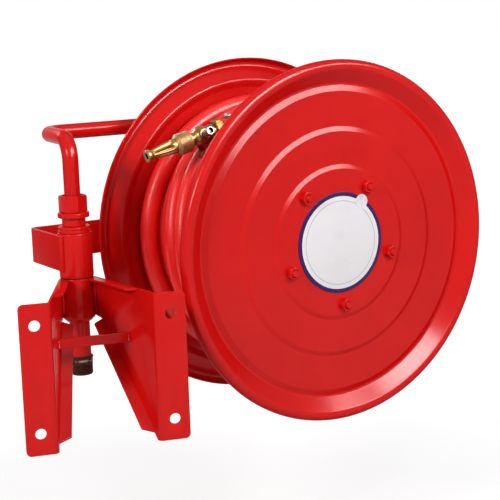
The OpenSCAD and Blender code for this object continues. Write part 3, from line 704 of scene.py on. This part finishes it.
def hoseRoute(s):
    spigot = onDrum(s["spigotTurn"], s["spigotRadius"], -s["innerEnd"])
    side = onDrum(s["spigotTurn"] + 90, 1, 0)
    near, far = s["spigotRun"]
    points = [spigot + side * (near + (far - near) * k / 2) for k in range(3)]
    turn = s["spigotTurn"] + math.degrees(math.atan(far / s["spigotRadius"])) + s["endGaps"][0]
    last = s["crossFrom"] + 360 * sum(s["laps"]) - s["endGaps"][1]
    easeFrom, easeSpan = s["spigotEase"]
    while turn < last:
        point = innerTurn(s, turn)
        past = turn - s["spigotTurn"]
        straight = s["spigotRadius"] / math.cos(math.radians(min(s["straightMost"], past)))
        give = 1 - ease((past - easeFrom) / easeSpan)
        flat = Vector((point.x, point.y))
        flat *= 1 + give * (straight / flat.length - 1)
        points.append(Vector((flat.x, flat.y, point.z)))
        turn += s["innerStep"]
    end = 360 * (s["frontTurns"] + 1) + nozzleSet["turn"] - s["crossFrom"]
    rings = math.ceil(end / s["outerStep"])
    points += [outerTurn(s, end * k / rings) for k in range(rings + 1)]
    leave, tail = nozzlePoint(-nozzleSet["run"]), nozzlePoint(s["tailEnd"])
    points += [leave + (tail - leave) * k / s["tailCuts"] for k in range(1, s["tailCuts"] + 1)]
    return points


def makeHose(s):
    route = hoseRoute(s)
    path = [drumPlace @ (point * mm) for point in route]
    sides, radius = s["sides"], hoseAcross / 2 * mm
    spots, faces, uvs, length = [], [], [], 0.0
    for i, centre in enumerate(path):
        lead = (path[min(i + 1, len(path) - 1)] - path[max(i - 1, 0)]).normalized()
        out = drumPlace.to_3x3() @ Vector((route[i].x, route[i].y, 0)).normalized()
        out = (out - out.dot(lead) * lead).normalized()
        across = lead.cross(out)
        for k in range(sides):
            a = 2 * math.pi * k / sides
            spots.append(centre + radius * (math.cos(a) * out + math.sin(a) * across))
        if i == 0:
            continue
        before = length
        length += (centre - path[i - 1]).length
        low, high = (i - 1) * sides, i * sides
        for k in range(sides):
            n = (k + 1) % sides
            faces.append((low + k, low + n, high + n, high + k))
            left, right = k / sides, (k + 1) / sides
            uvs.append(((left, before), (right, before), (right, length), (left, length)))
    faces += [tuple(range(sides - 1, -1, -1)), tuple(range(len(spots) - sides, len(spots)))]
    uvs += [tuple((0.5, 0) for _ in range(sides))] * 2
    mesh = bpy.data.meshes.new("woundHose")
    mesh.from_pydata([tuple(spot) for spot in spots], [], faces)
    layer = mesh.uv_layers.new(name="hoseRun")
    for polygon, corners in zip(mesh.polygons, uvs):
        for loop, corner in zip(polygon.loop_indices, corners):
            layer.data[loop].uv = corner
    hose = bpy.data.objects.new("woundHose", mesh)
    scene.collection.objects.link(hose)
    smoothBy(hose, s["crease"])
    return hose, path, length


hose, hosePath, hoseLength = makeHose(hoseSet)
seat(hose, "drum", "hose_rubber", hoseRed, "hose_core", "hose_outer_layer")
print("hose wound,", round(hoseLength, 2), "m")


# pressed discs, each step with its radius, drop and width
discSet = {"rim": 300.0, "half": 144.5, "steps": ((126.0, 3.0, 7.2), (187.5, 3.4, 8.0), (253.5, 4.2, 9.6)),
           "soft": 1.8, "softCuts": 5, "valley": 261.5, "valleySoft": 5.0, "rimHeight": -2.0, "crest": 11.0,
           "crestCuts": 20, "lip": 3.0, "sheet": 2.0, "hubHole": 24.0, "turns": 144, "crease": 50}


def discOutline(s, start):
    corners, height = [(start, 0)], 0
    for at, drop, width in s["steps"]:
        corners += [(at - width / 2, height, s["soft"]), (at + width / 2, height - drop, s["soft"])]
        height -= drop
    centre, hub = s["rimHeight"], s["rim"] - s["crest"]
    across, up = hub - s["valley"], centre - height
    slope = math.degrees(math.atan2(up, across) + math.asin(s["crest"] / math.hypot(up, across)))
    crest = arcLine((hub, centre), s["crest"], 90 + slope, 0, s["crestCuts"])
    corners += [(s["valley"], height, s["valleySoft"]), crest[0]]
    line = softened(corners, s["softCuts"])[:-1] + crest
    line += [(s["rim"], centre - s["lip"] / 2), (s["rim"], centre - s["lip"])]
    return [(r, h + s["half"]) for r, h in line]


def makeDisc(name, s, start):
    disc = turnedPiece(name, discOutline(s, start), s["turns"])
    pickOnly(disc)
    outward = sum(face.normal.z * face.area for face in disc.data.polygons)
    if outward < 0:
        bpy.ops.object.mode_set(mode="EDIT")
        bpy.ops.mesh.select_all(action="SELECT")
        bpy.ops.mesh.flip_normals()
        bpy.ops.object.mode_set(mode="OBJECT")
    useModifier(disc, "SOLIDIFY", thickness=s["sheet"] * mm, offset=-1.0)
    return smoothBy(disc, s["crease"])


frontDisc = putAt(makeDisc("frontDisc", discSet, 0), drumPlace)
rearDisc = putAt(makeDisc("rearDisc", discSet, discSet["hubHole"]), drumPlace @ faceRear)
seat(frontDisc, "drum", "red_enamel", redEnamel, "front_disc")
seat(rearDisc, "drum", "red_enamel", redEnamel, "rear_disc")
print("discs pressed")


# tie studs and their nuts
studSet = {"count": 5, "circle": 105.0, "turn": 57.5, "radius": 6.0, "tip": 4.0,
           "endCut": 1.2, "endEdge": (0.3, 0.9), "pitch": 1.75, "root": 0.75, "crest": 0.05,
           "threadIn": 1.0, "threadPast": 2.0,
           "turns": 24, "crease": 40, "nut": 10.0, "across": 19.0, "play": 0.05, "sink": 1.1,
           "twist": (11, 23)}


# one piece copied to every stud's place, each copy with its own turn
def atStuds(s, name, first, turnOf):
    pieces = []
    for i in range(s["count"]):
        spot = Matrix.Translation(onDrum(s["turn"] + 360 * i / s["count"], s["circle"] * mm, 0))
        pieces.append(putAt(copyOf(first, name + str(i)), drumPlace @ spot @ turnOf(i)))
    bpy.data.objects.remove(first)
    return joinAll(name, pieces)


def makeStuds(s):
    half, r = discSet["half"], s["radius"]
    top = half + s["nut"] + s["tip"]
    out, down = s["endEdge"]
    corners = [(0, -top), (r - s["endCut"], -top), (r - out, down - top)]
    inner, outer = half - s["threadPast"], top - s["threadIn"]
    for low, high in ((-outer, -inner), (inner, outer)):
        while low + s["pitch"] <= high:
            corners += [(r - s["root"], low), (r - s["crest"], low + s["pitch"] / 2)]
            low += s["pitch"]
    corners += [(r - out, top - down), (r - s["endCut"], top), (0, top)]
    stud = smoothBy(turnedPiece("tieStud", corners, s["turns"]), s["crease"])
    return atStuds(s, "tieStuds", stud, lambda i: Matrix.Identity(4))


def makeNuts(s, name, side):
    low = discSet["half"]
    nut = hexPiece(name, s["across"], low, low + s["nut"], s["radius"] + s["play"], s["sink"])
    first, more = s["twist"]
    return atStuds(s, name, nut, lambda i: side @ Matrix.Rotation(math.radians(first + more * i), 4, "Z"))


seat(makeStuds(studSet), "drum", "red_enamel", redEnamel, "tie_studs")
seat(makeNuts(studSet, "frontNuts", Matrix.Identity(4)), "drum", "red_enamel", redEnamel, "front_nuts")
seat(makeNuts(studSet, "rearNuts", faceRear), "drum", "red_enamel", redEnamel, "rear_nuts")


# label plate with a round silver seal on its edge
sealSet = {"turn": 56.0, "circle": 78.0, "radius": 12.0, "thick": 0.25, "turns": 48, "crease": 40}


def makeLabel(s):
    low, high = discSet["half"], discSet["half"] + s["thick"]
    plate = softened([(0, low), (s["edge"], low), (s["edge"], high, s["soft"]), (0, high)])
    return turnedAt(drumPlace, "labelPlate", plate, s["turns"], s["crease"])


def makeSeal(s):
    low = discSet["half"] + labelSet["thick"]
    high = low + s["thick"]
    spot = Matrix.Translation(onDrum(s["turn"], s["circle"] * mm, 0))
    line = [(0, low), (s["radius"], low), (s["radius"], high), (0, high)]
    return turnedAt(drumPlace @ spot, "roundSeal", line, s["turns"], s["crease"])


seat(makeLabel(labelSet), "drum", "label_white", labelWhite, "label_plate")
seat(makeSeal(sealSet), "drum", "label_white", metals["pearlSilver"])
print("studs, nuts and label placed")


# nozzle with its shut-off valve, in millimetres along its own axis from the hose to the tip
nozzleShape = {"tail": (-40.0, -24.0), "tailAcross": 35.0, "tailGap": 0.2, "tailSink": 0.5,
               "tailShoulder": 0.36, "neck": 21.0, "collarTop": 50.0, "tip": 104.0, "bore": 8.0}
coneSet = {"bore": 4.5, "seam": 20, "foot": ((12.6, 0, 0.6), (12.4, 2.4, 0.8)), "taper": (12.2, 6.8),
           "taperEnds": (4, 11), "belly": 0.5, "cuts": 16,
           "flutes": 9, "fluteDeep": 3.0, "fluteEnds": (5, 10), "fluteFade": (5, 4),
           "fluteSharp": 1.4, "wall": 7.5, "boreSkin": 0.5, "turns": 96, "crease": 40,
           "mouth": ((8.6, 8.2, 1.4), (10.2, 6.4, 1.2), (10.5, 2.4, 1.6), (9.6, 0, 1.0), (6.2, 0.5, 0.6),
                     (4.5, 1.8, 0.4))}


# foot corners are heights above the collar, mouth corners are depths below the tip
def coneOutline(s, low, top):
    wide, slim = s["taper"]
    taperLow, taperTop = low + s["taperEnds"][0], top - s["taperEnds"][1]
    seam = (s["bore"], low + s["seam"])
    outline = [seam, (s["bore"], low)] + [(r, low + up, soft) for r, up, soft in s["foot"]]
    for k in range(s["cuts"] + 1):
        share = k / s["cuts"]
        outline.append((wide + (slim - wide) * share + s["belly"] * math.sin(math.pi * share),
                        taperLow + (taperTop - taperLow) * share))
    outline += [(r, top - down, soft) for r, down, soft in s["mouth"]] + [seam]
    return softened(outline)


def makeCone(s):
    low, top = nozzleShape["collarTop"], nozzleShape["tip"]
    cone = turnedPiece("nozzleCone", coneOutline(s, low, top), s["turns"])
    (fluteLow, fluteTop), (fadeLow, fadeTop) = s["fluteEnds"], s["fluteFade"]
    for vertex in cone.data.vertices:
        x, y, z = vertex.co / mm
        radius = math.hypot(x, y)
        if radius < s["bore"] + s["boreSkin"]:
            continue
        depth = ease((z - low - fluteLow) / fadeLow) * ease((top - fluteTop - z) / fadeTop)
        depth *= (radius - s["bore"]) / s["wall"]
        groove = abs(math.cos(s["flutes"] / 2 * math.atan2(y, x))) ** s["fluteSharp"]
        scale = 1 - s["fluteDeep"] * depth * groove / radius
        vertex.co.x *= scale
        vertex.co.y *= scale
    return putAt(smoothBy(cone, s["crease"]), nozzlePlace)


# foot corners are heights above the neck, top corners are depths below the collar's top
collarSet = {"radius": 18.0, "seam": 10,
             "foot": ((15, 0), (15.6, 0.6), (15.6, 2.4), (16.6, 2.6), (18.0, 3.4)),
             "top": ((18.0, 5.2), (17.6, 4.8), (13.6, 0.6), (13, 0)),
             "linesFrom": 4.4, "linesTo": 7.0, "lineStep": 1.4, "lineDeep": 0.28, "lineWide": 0.7,
             "turns": 96, "crease": 40}


def makeCollar(s):
    low, high, bore, r = nozzleShape["neck"], nozzleShape["collarTop"], nozzleShape["bore"], s["radius"]
    seam = (bore, high - s["seam"])
    line = [seam, (bore, low)] + [(radius, low + up) for radius, up in s["foot"]]
    z = low + s["linesFrom"]
    while z < high - s["linesTo"]:
        line += [(r, z), (r - s["lineDeep"], z + s["lineWide"] / 2), (r, z + s["lineWide"])]
        z += s["lineStep"]
    line += [(radius, high - down) for radius, down in s["top"]] + [(bore, high), seam]
    return turnedAt(nozzlePlace, "nozzleCollar", line, s["turns"], s["crease"])


# ball housing between the tail nut and the collar, with a boss for the stem on both sides
bodySet = {"foot": ((12.4, 0), (13, 0.6)), "hip": (13, -13), "dome": 17.5, "domeArc": (-42, 50),
           "domeCuts": 22, "waist": ((10.6, 14.2), (11, 15.4)), "top": ((11, 0.6), (10.6, 0)),
           "bossTop": 18.5, "boss": ((0, 2), (10.6, 2), (9.0, 14.5, 2.5)), "bossEdge": (9.0, 0.7),
           "stemHole": (4.1, 12), "turns": 72, "bossTurns": 48}


def makeBody(s):
    low, high, bore = nozzleShape["tail"][1], nozzleShape["neck"], nozzleShape["bore"]
    line = [(bore, 0), (bore, low)] + [(radius, low + up) for radius, up in s["foot"]] + [s["hip"]]
    line += arcLine((0, 0), s["dome"], *s["domeArc"], s["domeCuts"]) + list(s["waist"])
    line += [(radius, high - down) for radius, down in s["top"]] + [(bore, high), (bore, 0)]
    parts = [turnedAt(nozzlePlace, "valveBody", line, s["turns"])]
    (edge, soft), (hole, floor) = s["bossEdge"], s["stemHole"]
    boss = [*s["boss"], (edge, s["bossTop"], soft), (hole, s["bossTop"]), (hole, floor), (0, floor)]
    for side in (Matrix.Identity(4), faceRear):
        parts.append(turnedAt(stemPlace @ side, "stemBoss", softened(boss), s["bossTurns"]))
    return joinAll("valveBody", parts)


# worm-drive hose clamp: a grooved band, its block and its screw
clampSet = {"ends": (-66.0, -50.0), "hose": 14.77, "band": 16.35, "seam": 4.0, "grooveStep": 2.3,
            "grooveIn": (1.6, 0.6), "groove": ((0, 0), (0.7, 0.25), (0.7, 0.9), (0, 1.15)),
            "block": 17.5, "blockSize": (3.2, 12.0, 11.0), "blockSoft": 1.4,
            "screwAcross": 5.0, "screw": (6.0, 9.0), "screwBore": 0.8, "screwSink": 0.3, "screwOut": 0.4,
            "turns": 72, "crease": 30}


def makeClamp(s):
    low, high = s["ends"]
    line = [(s["hose"], high - s["seam"]), (s["hose"], low), (s["band"], low)]
    z = low + s["grooveIn"][0]
    while z + s["grooveStep"] < high - s["grooveIn"][1]:
        line += [(s["band"] - deep, z + along) for deep, along in s["groove"]]
        z += s["grooveStep"]
    line += [(s["band"], high), (s["hose"], high), (s["hose"], high - s["seam"])]
    band = smoothBy(turnedPiece("clampBand", line, s["turns"]), s["crease"])
    middle = (low + high) / 2 * mm
    clearPicks()
    bpy.ops.mesh.primitive_cube_add(size=1, location=(s["block"] * mm, 0, middle))
    block = bpy.context.object
    block.scale = [size * mm for size in s["blockSize"]]
    bpy.ops.object.transform_apply(location=True, scale=True)
    useModifier(block, "BEVEL", width=s["blockSoft"] * mm, segments=3, limit_method="NONE")
    screw = hexPiece("clampScrew", s["screwAcross"], *s["screw"], s["screwBore"], s["screwSink"])
    screwSpot = Matrix.Translation(((s["block"] + s["screwOut"]) * mm, 0, middle))
    putAt(screw, screwSpot @ Matrix.Rotation(-math.pi / 2, 4, "X"))
    return putAt(joinAll("hoseClamp", [band, smoothBy(block), screw]), nozzlePlace)


def makeTail(s):
    low, high = s["tail"]
    nut = hexPiece("hoseTail", s["tailAcross"], low, high - s["tailGap"], s["bore"], s["tailSink"],
                   s["tailShoulder"])
    return putAt(nut, nozzlePlace)


# along the stem's axis from the ball: the rod in two halves, and a nut with a round socket
stemShape = {"rod": 3.95, "rodFrom": 11.0, "rodEnds": (37.0, -23.4), "rodSoft": 0.4,
             "bore": 4.1, "seam": 27, "gap": 0.4, "nut": ((6.0, 0, 0.4), (6.6, 0.8, 0.4)), "top": 42.0,
             "rim": ((6.6, 0.7, 0.6), (6.0, 0, 0.3), (4.9, 0, 0.3), (4.6, 0.6)), "socket": (4.6, 34, 33),
             "turns": 48, "rodTurns": 32}


def makeStemNut(s):
    low, top, seam = bodySet["bossTop"] + s["gap"], s["top"], (s["bore"], s["seam"])
    socket, floor, hole = s["socket"]
    line = [seam, (s["bore"], low)] + [(r, low + up, soft) for r, up, soft in s["nut"]]
    line += [(corner[0], top - corner[1], *corner[2:]) for corner in s["rim"]]
    line += [(socket, floor), (s["bore"], hole), seam]
    return turnedAt(stemPlace, "stemNut", softened(line), s["turns"])


def makeStem(s):
    halves = []
    for high in s["rodEnds"]:
        low = math.copysign(s["rodFrom"], high)
        line = softened([(0, low), (s["rod"], low), (s["rod"], high, s["rodSoft"]), (0, high)])
        halves.append(smoothBy(turnedPiece("stemRod", line, s["rodTurns"])))
    return putAt(joinAll("valveStem", halves), stemPlace)


seat(makeCone(coneSet), "drum", "nozzle_brass", metals["brassTurned"], "nozzle_cone")
seat(makeCollar(collarSet), "drum", "nozzle_brass", metals["brassSatin"], "nozzle_collar")
tailNut, valveBody, clamp = makeTail(nozzleShape), makeBody(bodySet), makeClamp(clampSet)
seat(tailNut, "drum", "nozzle_brass", metals["brassCast"], "hose_tail")
seat(valveBody, "drum", "nozzle_brass", metals["brassCast"], "valve_body")
seat(clamp, "drum", "bare_steel", metals["clampSteel"], "hose_clamp")
seat(makeStemNut(stemShape), "valve_lever", "bare_steel", stemSteel, "stem_nut")
seat(makeStem(stemShape), "valve_lever", "bare_steel", stemSteel, "valve_stem")
seat(bevelledCopy("lever", "shutLever", 0.9), "valve_lever", "nozzle_brass", metals["brassCast"], "lever")
print("nozzle and valve done")


# swing column, turned pieces from the inlet up; steps are (less than the outer radius, height, rounding)
columnSet = {"pipe": 16.85, "pipeWall": 3.5, "pipeEnds": (-45, 227.9), "pipeSoft": 0.5,
             "swing": 28.0, "swingEnds": (105.5, 178.4), "swingSoft": 1.2, "bush": 23.0, "turns": 96}
steppedSet = {
    "bracketSleeve": {"play": 0, "outer": 27.5, "seam": 60,
                      "steps": ((7.0, 31.0, 0.8), (0, 38.0, 2.5), (0, 103.7, 0.8))},
    "inletRing": {"play": 0, "outer": 19.6, "seam": -30,
                  "steps": ((0.6, -33, 0.4), (0, -31.6, 0.6), (0, -29.6, 0.6), (0.8, -28.4, 0.4))},
    "retainingCollar": {"play": 0, "outer": 26.0, "seam": 182,
                        "steps": ((0.6, 178.9, 0.3), (0, 179.6, 0.3), (0, 182.4, 0.3), (1.1, 183.0, 0.2),
                                  (1.1, 184.6, 0.2), (0, 185.2, 0.3), (0, 188.4, 0.5), (0.8, 189.4, 0.4))},
    "glandBody": {"play": 0.05, "outer": 26.0, "seam": 200,
                  "steps": ((6.7, 190, 0.4), (6.7, 203.6, 1.2), (0.8, 203.6, 0.4), (0, 204.8, 0.5),
                            (0, 210.6, 0.9), (1.2, 212, 0.5))},
}
socketSet = {"bore": 12.05, "seam": -50, "foot": ((12.05, -59), (13.1, -60), (16.8, -60), (17.3, -59.2)),
             "threadEnds": (-58.8, -43.5), "pitch": 2.31,
             "thread": ((17.25, 0), (18.25, 0.95), (18.25, 1.25), (17.25, 2.2)),
             "top": ((17.3, -42.6), (18.5, -41.8, 0.3), (18.6, -34.2, 0.5), (17.9, -33.4)), "softCuts": 3,
             "floor": -45}


# the outline starts and ends at a seam in the bore on the pipe
def steppedOutline(pipe, s):
    bore, steps = pipe + s["play"], s["steps"]
    corners = [(s["outer"] - less, height, soft) for less, height, soft in steps]
    seam = (bore, s["seam"])
    return softened([seam, (bore, steps[0][1]), *corners, (bore, steps[-1][1]), seam])


def socketOutline(pipe, s):
    line = [(s["bore"], s["seam"]), *s["foot"]]
    z, last = s["threadEnds"]
    while z < last:
        line += [(radius, z + up) for radius, up in s["thread"]]
        z += s["pitch"]
    line += softened([*s["top"], (pipe, s["top"][-1][1])], s["softCuts"])
    return line + [(pipe, s["floor"]), (s["bore"], s["floor"]), (s["bore"], s["seam"])]


def columnOutlines(s):
    pipe = s["pipe"]
    outlines = {name: steppedOutline(pipe, steps) for name, steps in steppedSet.items()}
    outlines["inletPipe"] = ringOutline(pipe - s["pipeWall"], pipe, *s["pipeEnds"], s["pipeSoft"])
    outlines["inletSocket"] = socketOutline(pipe, socketSet)
    outlines["swingSleeve"] = ringOutline(s["bush"], s["swing"], *s["swingEnds"], s["swingSoft"])
    return outlines


columnLines = columnOutlines(columnSet)
for name, body, slot, finish, node in (
        ("bracketSleeve", "wall_bracket", "red_enamel", redEnamel, "bracket_sleeve"),
        ("inletPipe", "wall_bracket", "red_enamel", redEnamel, "inlet_pipe"),
        ("inletRing", "wall_bracket", "blackened_iron", bandedIron, "inlet_ring"),
        ("inletSocket", "wall_bracket", "blackened_iron", bandedIron, "inlet_socket"),
        ("retainingCollar", "wall_bracket", "red_enamel", redEnamel, "retaining_collar"),
        ("swingSleeve", "swing_arm", "red_enamel", redEnamel, "swing_sleeve"),
        ("glandBody", "swing_arm", "red_enamel", redEnamel, "gland_body")):
    piece = turnedAt(columnPlace, name, columnLines[name], columnSet["turns"])
    seat(piece, body, slot, finish, node)

glandSet = {"across": 41.0, "ends": (212.0, 240.0), "bore": 17.4, "sink": 0.6, "turn": 26.0}
glandNut = hexPiece("glandNut", glandSet["across"], *glandSet["ends"], glandSet["bore"], glandSet["sink"])
putAt(glandNut, armPlace @ Matrix.Rotation(math.radians(glandSet["turn"]), 4, "Z"))
seat(glandNut, "swing_arm", "red_enamel", redEnamel, "gland_nut")
print("column turned")


# feed pipe with round bends, its corners (out, along, up) from the pivot
feedSet = {"radius": 13.2, "bend": 36.0, "bendCuts": 12, "roundCuts": 14,
           "route": ((0, 0, 232), (0, 0, 331), (-140, 19, 331), (-140, 377, 331), (-140, 377, 184))}


def bentRoute(s):
    corners = [Vector(corner) for corner in s["route"]]
    line = [corners[0]]
    for before, here, after in zip(corners, corners[1:], corners[2:]):
        a, b = (here - before).normalized(), (after - here).normalized()
        swing = a.angle(b)
        run = s["bend"] * math.tan(swing / 2)
        hub = here - a * run + (b - b.dot(a) * a).normalized() * s["bend"]
        spoke = here - a * run - hub
        axis = a.cross(b).normalized()
        for k in range(s["bendCuts"] + 1):
            line.append(hub + Matrix.Rotation(swing * k / s["bendCuts"], 3, axis) @ spoke)
    return [armPlace @ (point * mm) for point in line + [corners[-1]]]


feedPipe = tubeAlong("feedPipe", bentRoute(feedSet), feedSet["radius"], feedSet["roundCuts"])
seat(feedPipe, "swing_arm", "red_enamel", redEnamel, "feed_pipe")

# plate and cast pieces keep their solids' shape, with edges rounded by this width
edgeSet = {"arm_bar": ("armBar", "swing_arm", 0.9), "feed_elbow": ("feedElbow", "swing_arm", 1.2),
           "spindle_flange": ("spindleFlange", "swing_arm", 0.8),
           "left_cheek": ("leftCheek", "wall_bracket", 0.7),
           "right_cheek": ("rightCheek", "wall_bracket", 0.7),
           "cross_strap": ("crossStrap", "wall_bracket", 0.8)}
for node, (name, body, width) in edgeSet.items():
    seat(bevelledCopy(node, name, width), body, "red_enamel", redEnamel, node)
print("pipe, arm and bracket shaped")


# rippled weld beads in the corners of the bracket, each (x, y, low, high) from the pivot
weldSet = {"radius": 2.4, "step": 1.7, "ripple": 0.17, "end": 0.55, "cuts": 4,
           "beads": ((55.4, 143.3, 20.6, 35.4), (26.6, 12.5, 46.0, 97.0))}


def weldBead(s, x, y, low, high):
    count = round((high - low) / s["step"])
    points, swell = [], []
    for k in range(count + 1):
        points.append(columnPlace @ (Vector((x, y, low + (high - low) * k / count)) * mm))
        ending = s["end"] if k in (0, count) else 1.0
        swell.append(ending * (1 + s["ripple"] * (-1) ** k))
    return tubeAlong("bead", points, s["radius"], s["cuts"], swell)


beads = [weldBead(weldSet, side * x, *rest) for side in (-1, 1) for x, *rest in weldSet["beads"]]
seat(joinAll("bracketWelds", beads), "wall_bracket", "red_enamel", redEnamel)
print("welds laid")


# inner pieces keep their solids, with their own finishes
innerSet = (
    (metals["brassNearBlack"], ("thrust_washer",)),
    (metals["brassCast"], ("lower_bush", "upper_bush", "front_bush", "rear_bush", "hub_outlet")),
    (metals["zincSteel"], ("spindle", "spindle_washer", "spindle_end_nut", "hub", "front_hub_plate",
                           "rear_hub_plate", "inner_clamp", "valve_ball")),
    (sealBlack, ("gland_packing", "front_seal", "rear_seal")),
    (redEnamel, ("spindle_lock_nut", "drum_barrel")))
for finish, nodes in innerSet:
    for solid in (frame["nodes"][node] for node in nodes):
        for place in solid.material_slots:
            place.material = finish
        if not solid.material_slots:
            solid.data.materials.append(finish)
print("inner solids finished")


# floor, soft lamps and a white surround
sideWay, levelWay = (-0.764, -0.611, 0.204), (1, 0, 0)
studioSet = {"floor": -0.42, "reach": 80.0, "shade": 0.4, "rough": 0.9, "paper": (0.62, 0.95),
             "fade": (0.9, 2.4), "world": 0.14, "aim": (-0.3, -0.25, 0.15)}
# place and size in metres, the long side's way, watts, whether it lights, whether it shows in reflections
lampSet = {"keyLamp": ((2.35, 1.62, 1.62), (0.75, 0.75), levelWay, 66.0, True, True),
           "fillLamp": ((-1.5, 1.67, 1.34), (1.1, 0.5), sideWay, 37.0, True, False),
           "stripLamp": ((-1.66, 1.48, 1.48), (2.45, 0.6), sideWay, 110.0, False, True),
           "frontLamp": ((-0.29, 1.65, 1.66), (0.36, 0.36), levelWay, 7.0, True, False),
           "rimLamp": ((-0.98, 1.4, 1.7), (1.3, 0.32), (-0.77, -0.54, 0.34), 78.0, False, True),
           "topLamp": ((-0.4, -0.6, 2.6), (1.6, 1.6), levelWay, 4.0, True, True),
           "backLamp": ((1.0, -2.3, 1.5), (0.9, 0.9), levelWay, 34.0, True, True)}


# rays that show the white surround: straight, mirrored or through glass
def shownRays(tree):
    path = tree.nodes.new("ShaderNodeLightPath")
    shown = mathNode(tree, "MAXIMUM", path.outputs["Is Camera Ray"], path.outputs["Is Glossy Ray"])
    return mathNode(tree, "MAXIMUM", shown, path.outputs["Is Transmission Ray"])


def addFloor(s):
    clearPicks()
    bpy.ops.mesh.primitive_plane_add(size=s["reach"], location=(0, 0, s["floor"]))
    floor = bpy.context.object
    floor.name = "studioFloor"
    bpy.ops.object.transform_apply(location=True)
    paper = bpy.data.materials.new("paperWhite")
    paper.use_nodes = True
    tree = paper.node_tree
    shader = tree.nodes["Principled BSDF"]
    shader.inputs["Base Color"].default_value = (s["shade"], s["shade"], s["shade"], 1)
    shader.inputs["Roughness"].default_value = s["rough"]
    shader.inputs["Emission Color"].default_value = (1, 1, 1, 1)
    spot = tree.nodes.new("ShaderNodeTexCoord").outputs["Object"]
    paleness = spread(tree, axisRadius(tree, spot), *s["paper"], *s["fade"])
    glow = mathNode(tree, "MULTIPLY", shownRays(tree), paleness)
    tree.links.new(glow, shader.inputs["Emission Strength"])
    floor.data.materials.append(paper)


def addLamps(lamps, aim):
    for name, (place, size, along, power, lights, shines) in lamps.items():
        data = bpy.data.lights.new(name, "AREA")
        data.energy, data.shape = power, "RECTANGLE"
        data.size, data.size_y = size
        lamp = bpy.data.objects.new(name, data)
        scene.collection.objects.link(lamp)
        lamp.visible_diffuse, lamp.visible_glossy = lights, shines
        back = (Vector(place) - Vector(aim)).normalized()
        across = (Vector(along) - back * back.dot(Vector(along))).normalized()
        lamp.matrix_world = axesPlace(across, back.cross(across), back, Vector(place))


def addWorld(s):
    world = bpy.data.worlds.new("studioWhite")
    scene.world = world
    world.use_nodes = True
    tree = world.node_tree
    sky = tree.nodes["Background"]
    sky.inputs["Color"].default_value = (1, 1, 1, 1)
    tree.links.new(spread(tree, shownRays(tree), s["world"], 1.0), sky.inputs["Strength"])


addFloor(studioSet)
addLamps(lampSet, studioSet["aim"])
addWorld(studioSet)
print("studio lit")
